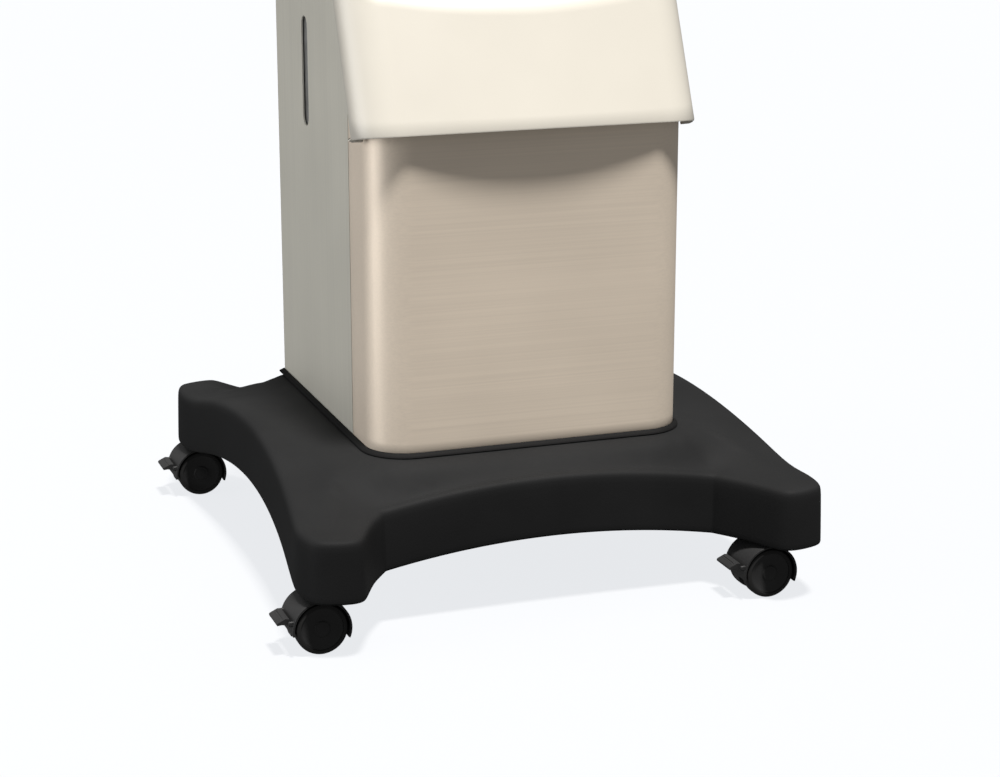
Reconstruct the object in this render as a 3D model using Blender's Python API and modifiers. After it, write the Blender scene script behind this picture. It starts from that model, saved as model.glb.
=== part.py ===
"""Mobile surgical suction pump: a steel column on a moulded four-legged base.

Metres, +Z up, +X to the operator's right, front at -Y.  The origin is on the floor,
under the middle of the base.  Each named object is one piece of the machine.
"""
import math

import bmesh
import bpy
from mathutils import Matrix, Vector

GAP = 0.0003                 # clearance between pieces that touch

# Base moulding
WALL_FRONT = 0.2225          # half depth at the recessed front and rear walls
WALL_END = 0.166             # half width of those walls
SIDE_MID = 0.244             # half width at the waist
LEG_SIDE = 0.2615            # half width at the legs
LEG_Y = 0.250                # where the straight leg side begins
LEG_BOTTOM = 0.0543
BAND = 0.060                 # height of the moulding's side band
FRONT_RISE = 0.016           # how far the band arches up between the legs
SIDE_RISE = 0.032
SIDE_SPAN = 0.215
BASE_TOP = 0.1470
BASE_SKIN = 0.0040

# Casters
STEM_X = 0.225
STEM_Y = 0.252
STEM_R = 0.0040
TRAIL = 0.018
WHEEL_R = 0.025
WHEEL_W = 0.0150
WEB_W = 0.0120
HOOD_R = 0.0280
HOOD_W = 0.0460
HOOD_TOP = 0.0525

# Column
COL_X = 0.159                # outer half width of the steel column
COL_FRONT = -0.172
COL_REAR = 0.1745
COL_CORNER = 0.040
SEAM_Y = -0.0890             # where the wrap-around cover meets the side panels
SHEET = 0.0015
GASKET_HEIGHT = 0.0030
STEEL_BOTTOM = BASE_TOP + GASKET_HEIGHT + 2 * GAP
COVER_TOP = 0.4680

# Upper housing
HEAD_X = 0.1705
HEAD_FRONT = -0.181
HEAD_CORNER = 0.040
HEAD_BOW = 0.009
HEAD_LIP = 0.4495            # lower edge of the fascia at its ends
HEAD_LIP_RISE = 0.0065       # the lower edge rises this much towards the front
HEAD_TILT = math.radians(24.0)
HEAD_SKIN = 0.0025
FASCIA_TOP = 0.600
PANEL_TILT = math.radians(42.0)
PANEL_LENGTH = 0.104
PANEL_THICK = 0.012
DECK_Z = 0.6720
DECK_THICK = 0.0120

# Canisters
JAR_X = 0.078
JAR_Y = 0.083
JAR_R = 0.0565
JAR_H = 0.185
JAR_WALL = 0.0025
CUP_DEPTH = 0.026

# Pump
PUMP_Z = 0.235
MOTOR_R = 0.052


def clear_scene():
    for item in list(bpy.data.objects):
        bpy.data.objects.remove(item, do_unlink=True)


clear_scene()
MODEL = bpy.data.collections.new("suction_pump")
CUTTERS = bpy.data.collections.new("cutters")
bpy.context.scene.collection.children.link(MODEL)
bpy.context.scene.collection.children.link(CUTTERS)
MATERIALS = {}

COLOURS = {
    "black_moulding": ((0.030, 0.030, 0.031), 0.0, 0.55),
    "brushed_steel": ((0.42, 0.39, 0.34), 1.0, 0.34),
    "cream_housing": ((0.72, 0.68, 0.58), 0.0, 0.40),
    "zinc": ((0.50, 0.51, 0.52), 1.0, 0.35),
    "tyre": ((0.022, 0.022, 0.023), 0.0, 0.70),
    "rubber": ((0.020, 0.020, 0.020), 0.0, 0.80),
    "motor_paint": ((0.10, 0.16, 0.24), 0.2, 0.45),
    "cast_alloy": ((0.45, 0.45, 0.44), 1.0, 0.50),
    "clear_plastic": ((0.85, 0.90, 0.92), 0.0, 0.06),
    "dial_white": ((0.86, 0.86, 0.83), 0.0, 0.50),
    "signal_red": ((0.60, 0.05, 0.04), 0.0, 0.40),
    "lid_blue": ((0.10, 0.25, 0.45), 0.0, 0.40),
}


def material(name):
    if name not in MATERIALS:
        colour, metallic, roughness = COLOURS[name]
        made = bpy.data.materials.new(name)
        made.use_nodes = True
        shader = made.node_tree.nodes["Principled BSDF"]
        shader.inputs["Base Color"].default_value = (*colour, 1.0)
        shader.inputs["Metallic"].default_value = metallic
        shader.inputs["Roughness"].default_value = roughness
        MATERIALS[name] = made
    return MATERIALS[name]


def place(item, look, matrix=None):
    """Give an object its material, place and collection."""
    for owner in list(item.users_collection):
        owner.objects.unlink(item)
    MODEL.objects.link(item)
    item.data.materials.clear()
    item.data.materials.append(material(look))
    if matrix is not None:
        item.matrix_world = matrix
    return item


def from_bmesh(name, mesh_data, look, matrix=None, smooth=None):
    mesh = bpy.data.meshes.new(name)
    mesh_data.to_mesh(mesh)
    mesh_data.free()
    item = bpy.data.objects.new(name, mesh)
    bpy.context.scene.collection.objects.link(item)
    if smooth is not None:
        mesh.shade_smooth()
        mesh.set_sharp_from_angle(angle=math.radians(smooth))
    return place(item, look, matrix)


def box(name, size, look, matrix, edge=0.0, segments=2):
    """A block of the given size, centred on the matrix, with rounded edges."""
    data = bmesh.new()
    bmesh.ops.create_cube(data, size=1.0, matrix=Matrix.Diagonal((*size, 1.0)))
    item = from_bmesh(name, data, look, matrix)
    if edge:
        bevel = item.modifiers.new("Rounded edges", "BEVEL")
        bevel.width = edge
        bevel.segments = segments
        bevel.limit_method = "ANGLE"
    return item


def rod(name, radius, length, look, matrix, segments=24):
    """A cylinder along the matrix's Z, centred on it."""
    data = bmesh.new()
    bmesh.ops.create_cone(data, cap_ends=True, segments=segments, radius1=radius,
                          radius2=radius, depth=length)
    return from_bmesh(name, data, look, matrix, smooth=40)


def turned(name, profile, look, matrix, steps=32, closed=True):
    """Turn a profile of (radius, height) points about the matrix's Z.

    The profile runs down its outer side; a closed one comes back up its bore.
    """
    data = bmesh.new()
    points = [data.verts.new((radius, 0.0, height)) for radius, height in profile]
    for start, end in zip(points, points[1:]):
        data.edges.new((start, end))
    if closed:
        data.edges.new((points[-1], points[0]))
    item = from_bmesh(name, data, look, matrix)
    screw = item.modifiers.new("Turned", "SCREW")
    screw.steps = steps
    screw.render_steps = steps
    screw.use_merge_vertices = True
    screw.merge_threshold = 0.00001
    return item


def sheet(name, outline, thickness, look, matrix, holes=()):
    """A flat outline in the matrix's XY plane, thickened evenly about it."""
    curve = bpy.data.curves.new(name, "CURVE")
    curve.dimensions = "2D"
    curve.fill_mode = "BOTH"
    curve.extrude = thickness / 2
    for points in (outline, *holes):
        spline = curve.splines.new("POLY")
        spline.points.add(len(points) - 1)
        for knot, (x, y) in zip(spline.points, points):
            knot.co = (x, y, 0.0, 1.0)
        spline.use_cyclic_u = True
    item = bpy.data.objects.new(name, curve)
    return place(item, look, matrix)


def as_mesh(item):
    """Turn a curve object into a welded mesh object, so that it can be cut or joined."""
    bpy.context.view_layer.update()
    evaluated = item.evaluated_get(bpy.context.evaluated_depsgraph_get())
    mesh = bpy.data.meshes.new_from_object(evaluated)
    data = bmesh.new()
    data.from_mesh(mesh)
    bmesh.ops.remove_doubles(data, verts=data.verts, dist=0.00001)
    bmesh.ops.recalc_face_normals(data, faces=data.faces)
    data.to_mesh(mesh)
    data.free()
    name = item.name
    solid = bpy.data.objects.new(name + "_mesh", mesh)
    place(solid, item.data.materials[0].name, item.matrix_world.copy())
    bpy.data.objects.remove(item, do_unlink=True)
    solid.name = name
    return solid


def combine(target, tool, operation):
    """Join a tool to the target, or cut it away, with the exact solver."""
    for owner in list(tool.users_collection):
        owner.objects.unlink(tool)
    CUTTERS.objects.link(tool)
    tool.hide_render = True
    tool.display_type = "WIRE"
    step = target.modifiers.new(tool.name, "BOOLEAN")
    step.operation = operation
    step.solver = "EXACT"
    step.object = tool
    return target


def moved(x, y, z):
    return Matrix.Translation((x, y, z))


def turn(axis, degrees):
    return Matrix.Rotation(math.radians(degrees), 4, axis)


ALONG_X = turn("Y", 90)
ALONG_Y = turn("X", -90)
FACING_FRONT = turn("X", 90)          # local Z points to -Y


def arc(centre, radius, start, end, count):
    """Points on an arc, from one angle to the other in degrees, both ends included."""
    steps = [math.radians(start + (end - start) * i / count) for i in range(count + 1)]
    return [(centre[0] + radius * math.cos(a), centre[1] + radius * math.sin(a))
            for a in steps]


def rounded_rectangle(half_x, half_y, radius, count=4, centre=(0.0, 0.0)):
    points = []
    for index, (sign_x, sign_y) in enumerate(((1, -1), (1, 1), (-1, 1), (-1, -1))):
        corner = (centre[0] + sign_x * (half_x - radius), centre[1] + sign_y * (half_y - radius))
        points += arc(corner, radius, -90 + 90 * index, 90 * index, count)
    return points


# ---------------------------------------------------------------- base moulding

WALL_STEPS = 4
SIDE_STEPS = 5


def base_quadrant():
    """Plan points of the front right quarter, from the front middle to the waist.

    Each point carries the height by which the band arches up there.
    """
    points = []
    for step in range(WALL_STEPS + 1):
        t = step / WALL_STEPS
        points.append((WALL_END * t, -WALL_FRONT, FRONT_RISE * (1 - t * t)))
    points.append((0.187, -0.252, 0.0))
    points.append((0.2046, -0.2895, 0.0))
    points.append((0.2200, -0.2985, 0.0))
    points.append((0.2470, -0.2920, 0.0))
    points.append((0.2590, -0.2740, 0.0))
    for step in range(SIDE_STEPS + 1):
        t = 1 - step / SIDE_STEPS
        x = SIDE_MID + (LEG_SIDE - SIDE_MID) * t * t
        y = -LEG_Y * t
        points.append((x, y, SIDE_RISE * max(0.0, 1 - (y / SIDE_SPAN) ** 2)))
    return points


def all_round(quadrant):
    """Mirror a quarter that starts on one axis and ends on the other to a full ring."""
    front_right = quadrant
    rear_right = [(x, -y, *rest) for x, y, *rest in reversed(quadrant[:-1])]
    right = front_right + rear_right
    left = [(-x, y, *rest) for x, y, *rest in reversed(right[1:-1])]
    return right + left


def inset(ring, distance):
    """Move each plan point inwards, square to the outline."""
    moved_points = []
    count = len(ring)
    for index, point in enumerate(ring):
        before = Vector(ring[index - 1][:2])
        after = Vector(ring[(index + 1) % count][:2])
        along = (after - before).normalized()
        moved_points.append((point[0] - along.y * distance, point[1] + along.x * distance))
    return moved_points


def collar_quadrant(offset):
    """The column's footprint grown by offset, point for point with base_quadrant."""
    half_x = COL_X + offset
    half_y = (COL_REAR - COL_FRONT) / 2 + offset
    corner = COL_CORNER + offset
    points = [((half_x - corner) * step / WALL_STEPS, -half_y) for step in range(WALL_STEPS)]
    points += arc((half_x - corner, corner - half_y), corner, -90, 0, 6)
    start = corner - half_y
    for step in range(1, SIDE_STEPS + 1):
        points.append((half_x, start * (1 - step / SIDE_STEPS)))
    return points


def base_moulding():
    outline = all_round(base_quadrant())
    levels = ((0.0, 0.0), (0.0015, 0.048), (0.0040, 0.0555), (0.0100, BAND))
    rings = []
    for inward, height in levels:
        plan = inset(outline, inward)
        rings.append([(x, y, LEG_BOTTOM + point[2] + height)
                      for (x, y), point in zip(plan, outline)])
    mid_y = (COL_FRONT + COL_REAR) / 2
    for offset, drop in ((0.018, 0.0035), (0.006, 0.0)):
        ring = all_round(collar_quadrant(offset))
        rings.append([(x, y + mid_y, BASE_TOP - drop) for x, y in ring])
    data = bmesh.new()
    rows = [[data.verts.new(point) for point in ring] for ring in rings]
    count = len(outline)
    for lower, upper in zip(rows, rows[1:]):
        for i in range(count):
            j = (i + 1) % count
            data.faces.new((lower[i], lower[j], upper[j], upper[i]))
    data.faces.new(rows[-1])
    item = from_bmesh("base_moulding", data, "black_moulding", smooth=30)
    shell = item.modifiers.new("Wall", "SOLIDIFY")
    shell.thickness = BASE_SKIN
    shell.offset = -1
    boss_top = LEG_BOTTOM + BAND + 0.0027        # ends inside the sloping wall above it
    boss_bottom = LEG_BOTTOM + 0.0020
    for sx in (-1, 1):
        for sy in (-1, 1):
            place_at = moved(sx * STEM_X, sy * STEM_Y, (boss_top + boss_bottom) / 2)
            boss = rod("boss", 0.0150, boss_top - boss_bottom, "black_moulding", place_at, 16)
            combine(item, boss, "UNION")
    for sx in (-1, 1):
        for sy in (-1, 1):
            place_at = moved(sx * STEM_X, sy * STEM_Y, 0.070)
            bore = rod("stem_bore", 0.0060, 0.050, "black_moulding", place_at, 12)
            combine(item, bore, "DIFFERENCE")
    return item


# ---------------------------------------------------------------- casters

def caster(name, sx, sy, trail):
    """A twin-wheel caster; trail is -1 or 1, the side the wheels trail to."""
    origin = moved(sx * STEM_X, sy * STEM_Y, 0.0)
    swivel = bpy.data.objects.new(f"{name}_swivel_axis", None)
    swivel.matrix_world = origin
    MODEL.objects.link(swivel)
    axle_at = origin @ moved(trail * TRAIL, 0.0, WHEEL_R)

    stem = [(0.0, 0.0930), (0.0048, 0.0930), (0.0055, 0.0920), (0.0055, 0.0535),
            (STEM_R, 0.0530), (STEM_R, 0.0370), (0.0, 0.0370)]
    turned(f"{name}_stem", stem, "zinc", origin, steps=16, closed=False)

    start, end = (-25, 190) if trail < 0 else (-10, 205)
    outer = arc((0.0, 0.0), HOOD_R, start, end, 18)
    inner = arc((0.0, 0.0), HOOD_R - 0.0016, end, start, 18)
    flat = HOOD_TOP - WHEEL_R
    band = [(x, min(z, flat)) for x, z in outer] + [(x, min(z, flat - 0.0012)) for x, z in inner]
    hood = as_mesh(sheet(f"{name}_body", band, HOOD_W, "black_moulding",
                         axle_at @ FACING_FRONT))
    web_outline = [(x, min(z, flat - 0.0004)) for x, z in arc((0, 0), HOOD_R - 0.0008, -20, 200, 16)]
    web = as_mesh(sheet(f"{name}_web", web_outline, WEB_W, "black_moulding",
                        axle_at @ FACING_FRONT))
    combine(hood, web, "UNION")
    collar = rod("caster_collar", 0.0085, 0.0032, "black_moulding",
                 origin @ moved(0.0, 0.0, HOOD_TOP - 0.0018), 16)
    combine(hood, collar, "UNION")
    bore = rod("caster_stem_bore", STEM_R + GAP, 0.030, "black_moulding",
               origin @ moved(0.0, 0.0, 0.0360 + 0.015), 16)
    combine(hood, bore, "DIFFERENCE")
    axle_bore = rod("caster_axle_bore", 0.0033, WEB_W * 2, "black_moulding",
                    axle_at @ ALONG_Y, 12)
    combine(hood, axle_bore, "DIFFERENCE")

    rod(f"{name}_axle", 0.0030, HOOD_W - 0.0060, "zinc", axle_at @ ALONG_Y, 12)

    middle = WEB_W / 2 + 0.0006 + WHEEL_W / 2
    half = WHEEL_W / 2
    shoulder = half - 0.0020
    profile = [(WHEEL_R - 0.0015, half), (WHEEL_R, shoulder), (WHEEL_R, -shoulder),
               (WHEEL_R - 0.0015, -half), (0.0033, -half), (0.0033, half)]
    for side, facing in (("front_wheel", -1), ("rear_wheel", 1)):
        at = axle_at @ moved(0.0, facing * middle, 0.0) @ turn("X", -90 * facing)
        turned(f"{name}_{side}", profile, "tyre", at, steps=22)

    pivot_x = HOOD_R + 0.0042
    lever_at = axle_at @ moved(trail * pivot_x, 0.0, 0.0080)
    lever_side = [(-0.0030 * trail, 0.0035), (0.0, 0.0040), (0.0040 * trail, 0.0024),
                  (0.0085 * trail, -0.0002), (0.0085 * trail, -0.0024), (0.0010 * trail, -0.0034),
                  (-0.0030 * trail, -0.0030)]
    sheet(f"{name}_brake_lever", lever_side, 0.0300, "black_moulding", lever_at @ FACING_FRONT)


# ---------------------------------------------------------------- column

CORNER_STEPS = 8


def column_outline(offset):
    """The column's plan outline, rounded at its two front corners."""
    half_x = COL_X + offset
    radius = COL_CORNER + offset
    front = COL_FRONT - offset
    rear_y = COL_REAR + GAP + SHEET
    right = arc((half_x - radius, front + radius), radius, -90, 0, CORNER_STEPS)
    left = arc((radius - half_x, front + radius), radius, 180, 270, CORNER_STEPS)
    return left + right + [(half_x, rear_y + offset), (-half_x, rear_y + offset)]


def column_gasket():
    outer = column_outline(0.0040)
    hole = column_outline(GAP)
    sheet("column_gasket", outer, GASKET_HEIGHT, "rubber",
          moved(0, 0, BASE_TOP + GAP + GASKET_HEIGHT / 2), holes=(hole,))


def front_cover():
    """The wrap-around cover: one sheet bent round both front corners."""
    radius = COL_CORNER
    plan = [(-COL_X, SEAM_Y - 0.0012)]
    plan += arc((radius - COL_X, COL_FRONT + radius), radius, 180, 270, CORNER_STEPS)
    plan += arc((COL_X - radius, COL_FRONT + radius), radius, -90, 0, CORNER_STEPS)
    plan += [(COL_X, SEAM_Y - 0.0012)]
    data = bmesh.new()
    lower = [data.verts.new((x, y, STEEL_BOTTOM)) for x, y in plan]
    upper = [data.verts.new((x, y, COVER_TOP)) for x, y in plan]
    for i in range(len(plan) - 1):
        data.faces.new((lower[i], lower[i + 1], upper[i + 1], upper[i]))
    item = from_bmesh("front_cover", data, "brushed_steel", smooth=30)
    shell = item.modifiers.new("Sheet", "SOLIDIFY")
    shell.thickness = SHEET
    shell.offset = -1


def fascia_shift(z):
    """How far back the inclined fascia has leaned at a height."""
    return (z - HEAD_LIP - HEAD_LIP_RISE) * math.tan(HEAD_TILT)


UNDER_DECK = DECK_Z - DECK_THICK - GAP
PANEL_FOOT_Y = HEAD_FRONT + fascia_shift(FASCIA_TOP)
PANEL_HEAD_Y = PANEL_FOOT_Y + PANEL_LENGTH * math.cos(PANEL_TILT)
PANEL_HEAD_Z = FASCIA_TOP + PANEL_LENGTH * math.sin(PANEL_TILT)


def side_panel(name, side):
    """Side sheet: its upper front edge runs just behind the end of the inclined fascia."""
    clear = 0.0010
    fascia_end = HEAD_FRONT + HEAD_CORNER
    seam_top = COVER_TOP + 0.0015
    outline = [(SEAM_Y, STEEL_BOTTOM), (COL_REAR, STEEL_BOTTOM), (COL_REAR, UNDER_DECK),
               (fascia_end + fascia_shift(UNDER_DECK) + clear, UNDER_DECK),
               (fascia_end + fascia_shift(seam_top) + clear, seam_top), (SEAM_Y, seam_top)]
    vent = rounded_rectangle(0.0110, 0.055, 0.0105, 4, centre=(0.064, 0.4870))
    at = moved(side * (COL_X - SHEET / 2), 0, 0) @ Matrix(
        ((0, 0, 1, 0), (1, 0, 0, 0), (0, 1, 0, 0), (0, 0, 0, 1)))
    sheet(name, outline, SHEET, "brushed_steel", at, holes=(vent,))


def rear_panel():
    """Rear sheet with a column of cooling slots and the power inlet's cut-out."""
    half_x = COL_X
    outline = [(-half_x, STEEL_BOTTOM), (half_x, STEEL_BOTTOM), (half_x, UNDER_DECK),
               (-half_x, UNDER_DECK)]
    slots = [rounded_rectangle(0.080, 0.0035, 0.0034, 2, centre=(0.0, 0.330 + 0.018 * row))
             for row in range(8)]
    inlet = [(-0.1000, 0.2000), (-0.0600, 0.2000), (-0.0600, 0.2500), (-0.1000, 0.2500)]
    at = moved(0, COL_REAR + GAP + SHEET / 2, 0) @ FACING_FRONT
    sheet("rear_panel", outline, SHEET, "brushed_steel", at, holes=(*slots, inlet))


# ---------------------------------------------------------------- upper housing

def head_plan(steps=7):
    """Right half of the head's outline, from the end of the fascia to the front middle."""
    centre_x, centre_y = HEAD_X - HEAD_CORNER, HEAD_FRONT + HEAD_CORNER
    half = [(HEAD_X, centre_y)] + arc((centre_x, centre_y), HEAD_CORNER, 0, -90, steps)[1:]
    half += [(centre_x * t, HEAD_FRONT - HEAD_BOW * (1 - t * t)) for t in (0.75, 0.5, 0.25)]
    return half + [(0.0, HEAD_FRONT - HEAD_BOW)]


def brow_rise(y):
    """How far the fascia's top edge climbs with the control panel, by its distance back."""
    slope = math.tan(PANEL_TILT)
    return (y - HEAD_FRONT) * slope / (1 - slope * math.tan(HEAD_TILT))


def upper_fascia():
    """Inclined wrap-around moulding, cut along the control panel, with turned-in lips."""
    end_y = HEAD_FRONT + HEAD_CORNER
    half = [(COL_X, end_y)] + head_plan()
    plan = half + [(-x, y) for x, y in reversed(half[:-1])]
    outside_cover, inside_sheet = 0.0012, -0.0035

    def row(height_at, inward, lip):
        points = []
        for index, (x, y) in enumerate(plan):
            height = height_at(y)
            if index in (0, len(plan) - 1):
                points.append((math.copysign(COL_X + lip, x), y + fascia_shift(height), height))
                continue
            toward = Vector((-x, 0.02 - y)).normalized() * inward
            toward.x = 0.0 if y > end_y - 0.001 else toward.x
            points.append((x + toward.x, y + toward.y + fascia_shift(height), height))
        return points

    def lower_edge(y):
        return HEAD_LIP + HEAD_LIP_RISE * (end_y - y) / HEAD_CORNER

    def upper_edge(y):
        return FASCIA_TOP - 0.0010 + brow_rise(min(y, end_y - 0.0020))

    def between(share):
        return lambda y: COVER_TOP + 0.0040 + share * (upper_edge(y) - COVER_TOP - 0.0040)

    rows = [row(lower_edge, 0.0085, outside_cover), row(lower_edge, 0.0, outside_cover),
            row(lambda y: COVER_TOP + 0.0016, 0.0, outside_cover),
            row(between(0.0), 0.0, inside_sheet), row(between(0.5), 0.0, inside_sheet),
            row(upper_edge, 0.0, inside_sheet)]
    data = bmesh.new()
    grid = [[data.verts.new(point) for point in points] for points in rows]
    for lower, upper in zip(grid, grid[1:]):
        for i in range(len(plan) - 1):
            data.faces.new((lower[i + 1], lower[i], upper[i], upper[i + 1]))
    item = from_bmesh("upper_fascia", data, "cream_housing", smooth=30)
    shell = item.modifiers.new("Skin", "SOLIDIFY")
    shell.thickness = HEAD_SKIN
    shell.offset = -1


def panel_frame():
    """Middle of the control panel's upper face: X right, Y up the slope, Z outwards."""
    middle = moved(0, (PANEL_FOOT_Y + PANEL_HEAD_Y) / 2, (FASCIA_TOP + PANEL_HEAD_Z) / 2)
    return middle @ Matrix.Rotation(PANEL_TILT, 4, "X") @ moved(0, 0, PANEL_THICK + 0.0010)


def control_panel():
    """Sloping panel whose lower edge follows the fascia's curved top edge."""
    frame = panel_frame()
    head_edge = PANEL_LENGTH / 2 - 0.0010
    half = [(x, min(head_edge - 0.0010, brow_rise(y) / math.sin(PANEL_TILT) - PANEL_LENGTH / 2))
            for x, y in head_plan()]
    outline = [(HEAD_X, head_edge)] + half
    outline += [(-x, v) for x, v in reversed(outline[:-1])]
    item = as_mesh(sheet("control_panel", outline, PANEL_THICK, "cream_housing",
                         frame @ moved(0, 0, -PANEL_THICK / 2)))
    bore = rod("spindle_bore", 0.0055, 0.04, "cream_housing", frame @ moved(KNOB_X, 0, 0), 12)
    combine(item, bore, "DIFFERENCE")
    well = box("switch_well", (0.0220, 0.0340, 0.0160), "cream_housing",
               frame @ moved(SWITCH_X, 0, 0))
    combine(item, well, "DIFFERENCE")


def top_deck():
    front = PANEL_HEAD_Y + 0.0010
    rear = COL_REAR + 0.0080
    outline = rounded_rectangle(HEAD_X, (rear - front) / 2, 0.012, 4,
                                centre=(0, (front + rear) / 2))
    item = as_mesh(sheet("top_deck", outline, DECK_THICK, "cream_housing",
                         moved(0, 0, DECK_Z - DECK_THICK / 2)))
    bevel = item.modifiers.new("Rounded edges", "BEVEL")
    bevel.width = 0.0035
    bevel.segments = 2
    bevel.limit_method = "ANGLE"


# ---------------------------------------------------------------- controls

GAUGE_X = -0.088
GAUGE_R = 0.0380
KNOB_X = 0.020
SWITCH_X = 0.105


def gauge():
    at = panel_frame() @ moved(GAUGE_X, 0, 0)
    rim = GAUGE_R
    turned("gauge_housing", [(rim - 0.0030, 0.0170), (rim - 0.0010, 0.0165), (rim, 0.0140),
                             (rim, GAP), (0.0, GAP), (0.0, 0.0030), (rim - 0.0040, 0.0030),
                             (rim - 0.0040, 0.0160)], "black_moulding", at, steps=28)
    rod("gauge_dial", rim - 0.0045, 0.0010, "dial_white", at @ moved(0, 0, 0.0040), 28)
    needle_at = at @ moved(0, 0, 0.0072) @ turn("Z", 135)
    needle = [(-0.0012, -0.0080), (0.0012, -0.0080), (0.0014, 0.0), (0.0004, 0.0270),
              (-0.0004, 0.0270), (-0.0014, 0.0)]
    sheet("gauge_needle", needle, 0.0010, "signal_red", needle_at)
    rod("gauge_lens", rim - 0.0045, 0.0015, "clear_plastic", at @ moved(0, 0, 0.0130), 28)


def regulator():
    at = panel_frame() @ moved(KNOB_X, 0, 0)
    knob = [(0.0, 0.0245), (0.0150, 0.0245), (0.0170, 0.0230), (0.0185, 0.0030), (0.0205, 0.0006),
            (0.0044, 0.0006), (0.0044, 0.0140), (0.0, 0.0140)]
    turned("regulator_knob", knob, "black_moulding", at, steps=24, closed=False)
    valve = [(0.0, 0.0130), (0.0040, 0.0130), (0.0040, -0.0125), (0.0140, -0.0125),
             (0.0140, -0.0520), (0.0, -0.0520)]
    turned("regulator_valve", valve, "zinc", at, steps=20, closed=False)


def mains_switch():
    at = panel_frame() @ moved(SWITCH_X, 0, 0)
    outer = rounded_rectangle(0.0150, 0.0210, 0.0025, 2)
    hole = rounded_rectangle(0.0112, 0.0172, 0.0010, 2)
    sheet("rocker_switch_frame", outer, 0.0060, "black_moulding",
          at @ moved(0, 0, 0.0030 + GAP), holes=(hole,))
    # Side view of the rocker: two faces that meet in a shallow V, lower end pressed in.
    side = [(-0.0145, -0.0010), (0.0145, 0.0010), (0.0145, 0.0100), (0.0, 0.0062),
            (-0.0145, 0.0062)]
    sideways = Matrix(((0, 0, 1, 0), (1, 0, 0, 0), (0, 1, 0, 0), (0, 0, 0, 1)))
    sheet("rocker_switch", side, 0.0210, "signal_red", at @ sideways)


# ---------------------------------------------------------------- canisters

def canister_holder():
    """Two shallow cups side by side, in one moulding on the deck."""
    radius = JAR_R + 0.0060
    right = arc((JAR_X, 0), radius, -90, 90, 16)
    left = arc((-JAR_X, 0), radius, 90, 270, 16)
    block = as_mesh(sheet("canister_holder", right + left, CUP_DEPTH, "black_moulding",
                          moved(0, JAR_Y, DECK_Z + GAP + CUP_DEPTH / 2)))
    for side in (-1, 1):
        pocket = rod("cup_pocket", JAR_R + 0.0012, CUP_DEPTH, "black_moulding",
                     moved(side * JAR_X, JAR_Y, DECK_Z + 0.0040 + CUP_DEPTH / 2), 32)
        combine(block, pocket, "DIFFERENCE")


JAR_FLOOR = DECK_Z + 0.0040 + GAP


def canister(name, side):
    at = moved(side * JAR_X, JAR_Y, JAR_FLOOR)
    inner = JAR_R - JAR_WALL
    jar = [(inner, JAR_H), (JAR_R, JAR_H), (JAR_R, 0.0060), (JAR_R - 0.0050, 0.0),
           (0.0, 0.0), (0.0, JAR_WALL), (inner - 0.0040, JAR_WALL), (inner, 0.0070)]
    turned(f"{name}_jar", jar, "clear_plastic", at, steps=28)

    lid_at = at @ moved(0, 0, JAR_H)
    skirt = JAR_R + 0.0035
    lid = [(0.0, 0.0120), (0.0480, 0.0120), (skirt - 0.0030, 0.0100), (skirt, 0.0070),
           (skirt, -0.0120), (JAR_R + 0.0008, -0.0120), (JAR_R + 0.0008, 0.0008),
           (0.0080, 0.0050), (0.0025, 0.0050), (0.0025, -0.0480), (0.0090, -0.0480),
           (0.0090, -0.0500), (0.0, -0.0500)]
    cap = turned(f"{name}_lid", lid, "lid_blue", lid_at, steps=28, closed=False)
    for x in (-0.026, 0.026):
        port = turned("lid_port", [(0.0, 0.0300), (0.0045, 0.0300), (0.0055, 0.0220),
                                   (0.0055, 0.0080), (0.0, 0.0080)],
                      "lid_blue", lid_at @ moved(x, 0, 0), steps=10, closed=False)
        combine(cap, port, "UNION")
    collar = [(0.0120, -0.0200), (0.0120, -0.0460), (0.0030, -0.0472), (0.0030, -0.0190)]
    turned(f"{name}_float", collar, "dial_white", lid_at, steps=16)


def vacuum_port():
    """Hose barb on the deck, behind the canisters."""
    at = moved(0, JAR_Y + 0.0790, DECK_Z + GAP)
    body = [(0.0, 0.0420), (0.0038, 0.0420), (0.0052, 0.0380), (0.0040, 0.0370), (0.0052, 0.0320),
            (0.0040, 0.0310), (0.0040, 0.0180), (0.0095, 0.0170), (0.0095, 0.0040),
            (0.0140, 0.0040), (0.0140, 0.0), (0.0, 0.0)]
    turned("vacuum_port", body, "zinc", at, steps=12, closed=False)


# ---------------------------------------------------------------- handle and rear fittings

def push_handle():
    """Bent tube with a flange at each end, bolted to the rear panel."""
    tube_r = 0.0110
    reach, half, height, bend = 0.2600, 0.1150, 0.6200, 0.030
    start_y = COL_REAR + SHEET + 3 * GAP
    route = [(-half, start_y)]
    route += arc((-half + bend, reach - bend), bend, 180, 90, 6)
    route += arc((half - bend, reach - bend), bend, 90, 0, 6)
    route += [(half, start_y)]
    curve = bpy.data.curves.new("push_handle", "CURVE")
    curve.dimensions = "3D"
    curve.bevel_depth = tube_r
    curve.bevel_resolution = 2
    curve.use_fill_caps = True
    spline = curve.splines.new("POLY")
    spline.points.add(len(route) - 1)
    for knot, (x, y) in zip(spline.points, route):
        knot.co = (x, y, height, 1.0)
    tube = as_mesh(place(bpy.data.objects.new("push_handle", curve), "black_moulding"))
    for side in (-1, 1):
        flange = rod("handle_flange", 0.0210, 0.0050, "black_moulding",
                     moved(side * half, start_y + 0.0020, height) @ ALONG_Y, 24)
        combine(tube, flange, "UNION")


INLET = (-0.080, 0.225)


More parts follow.
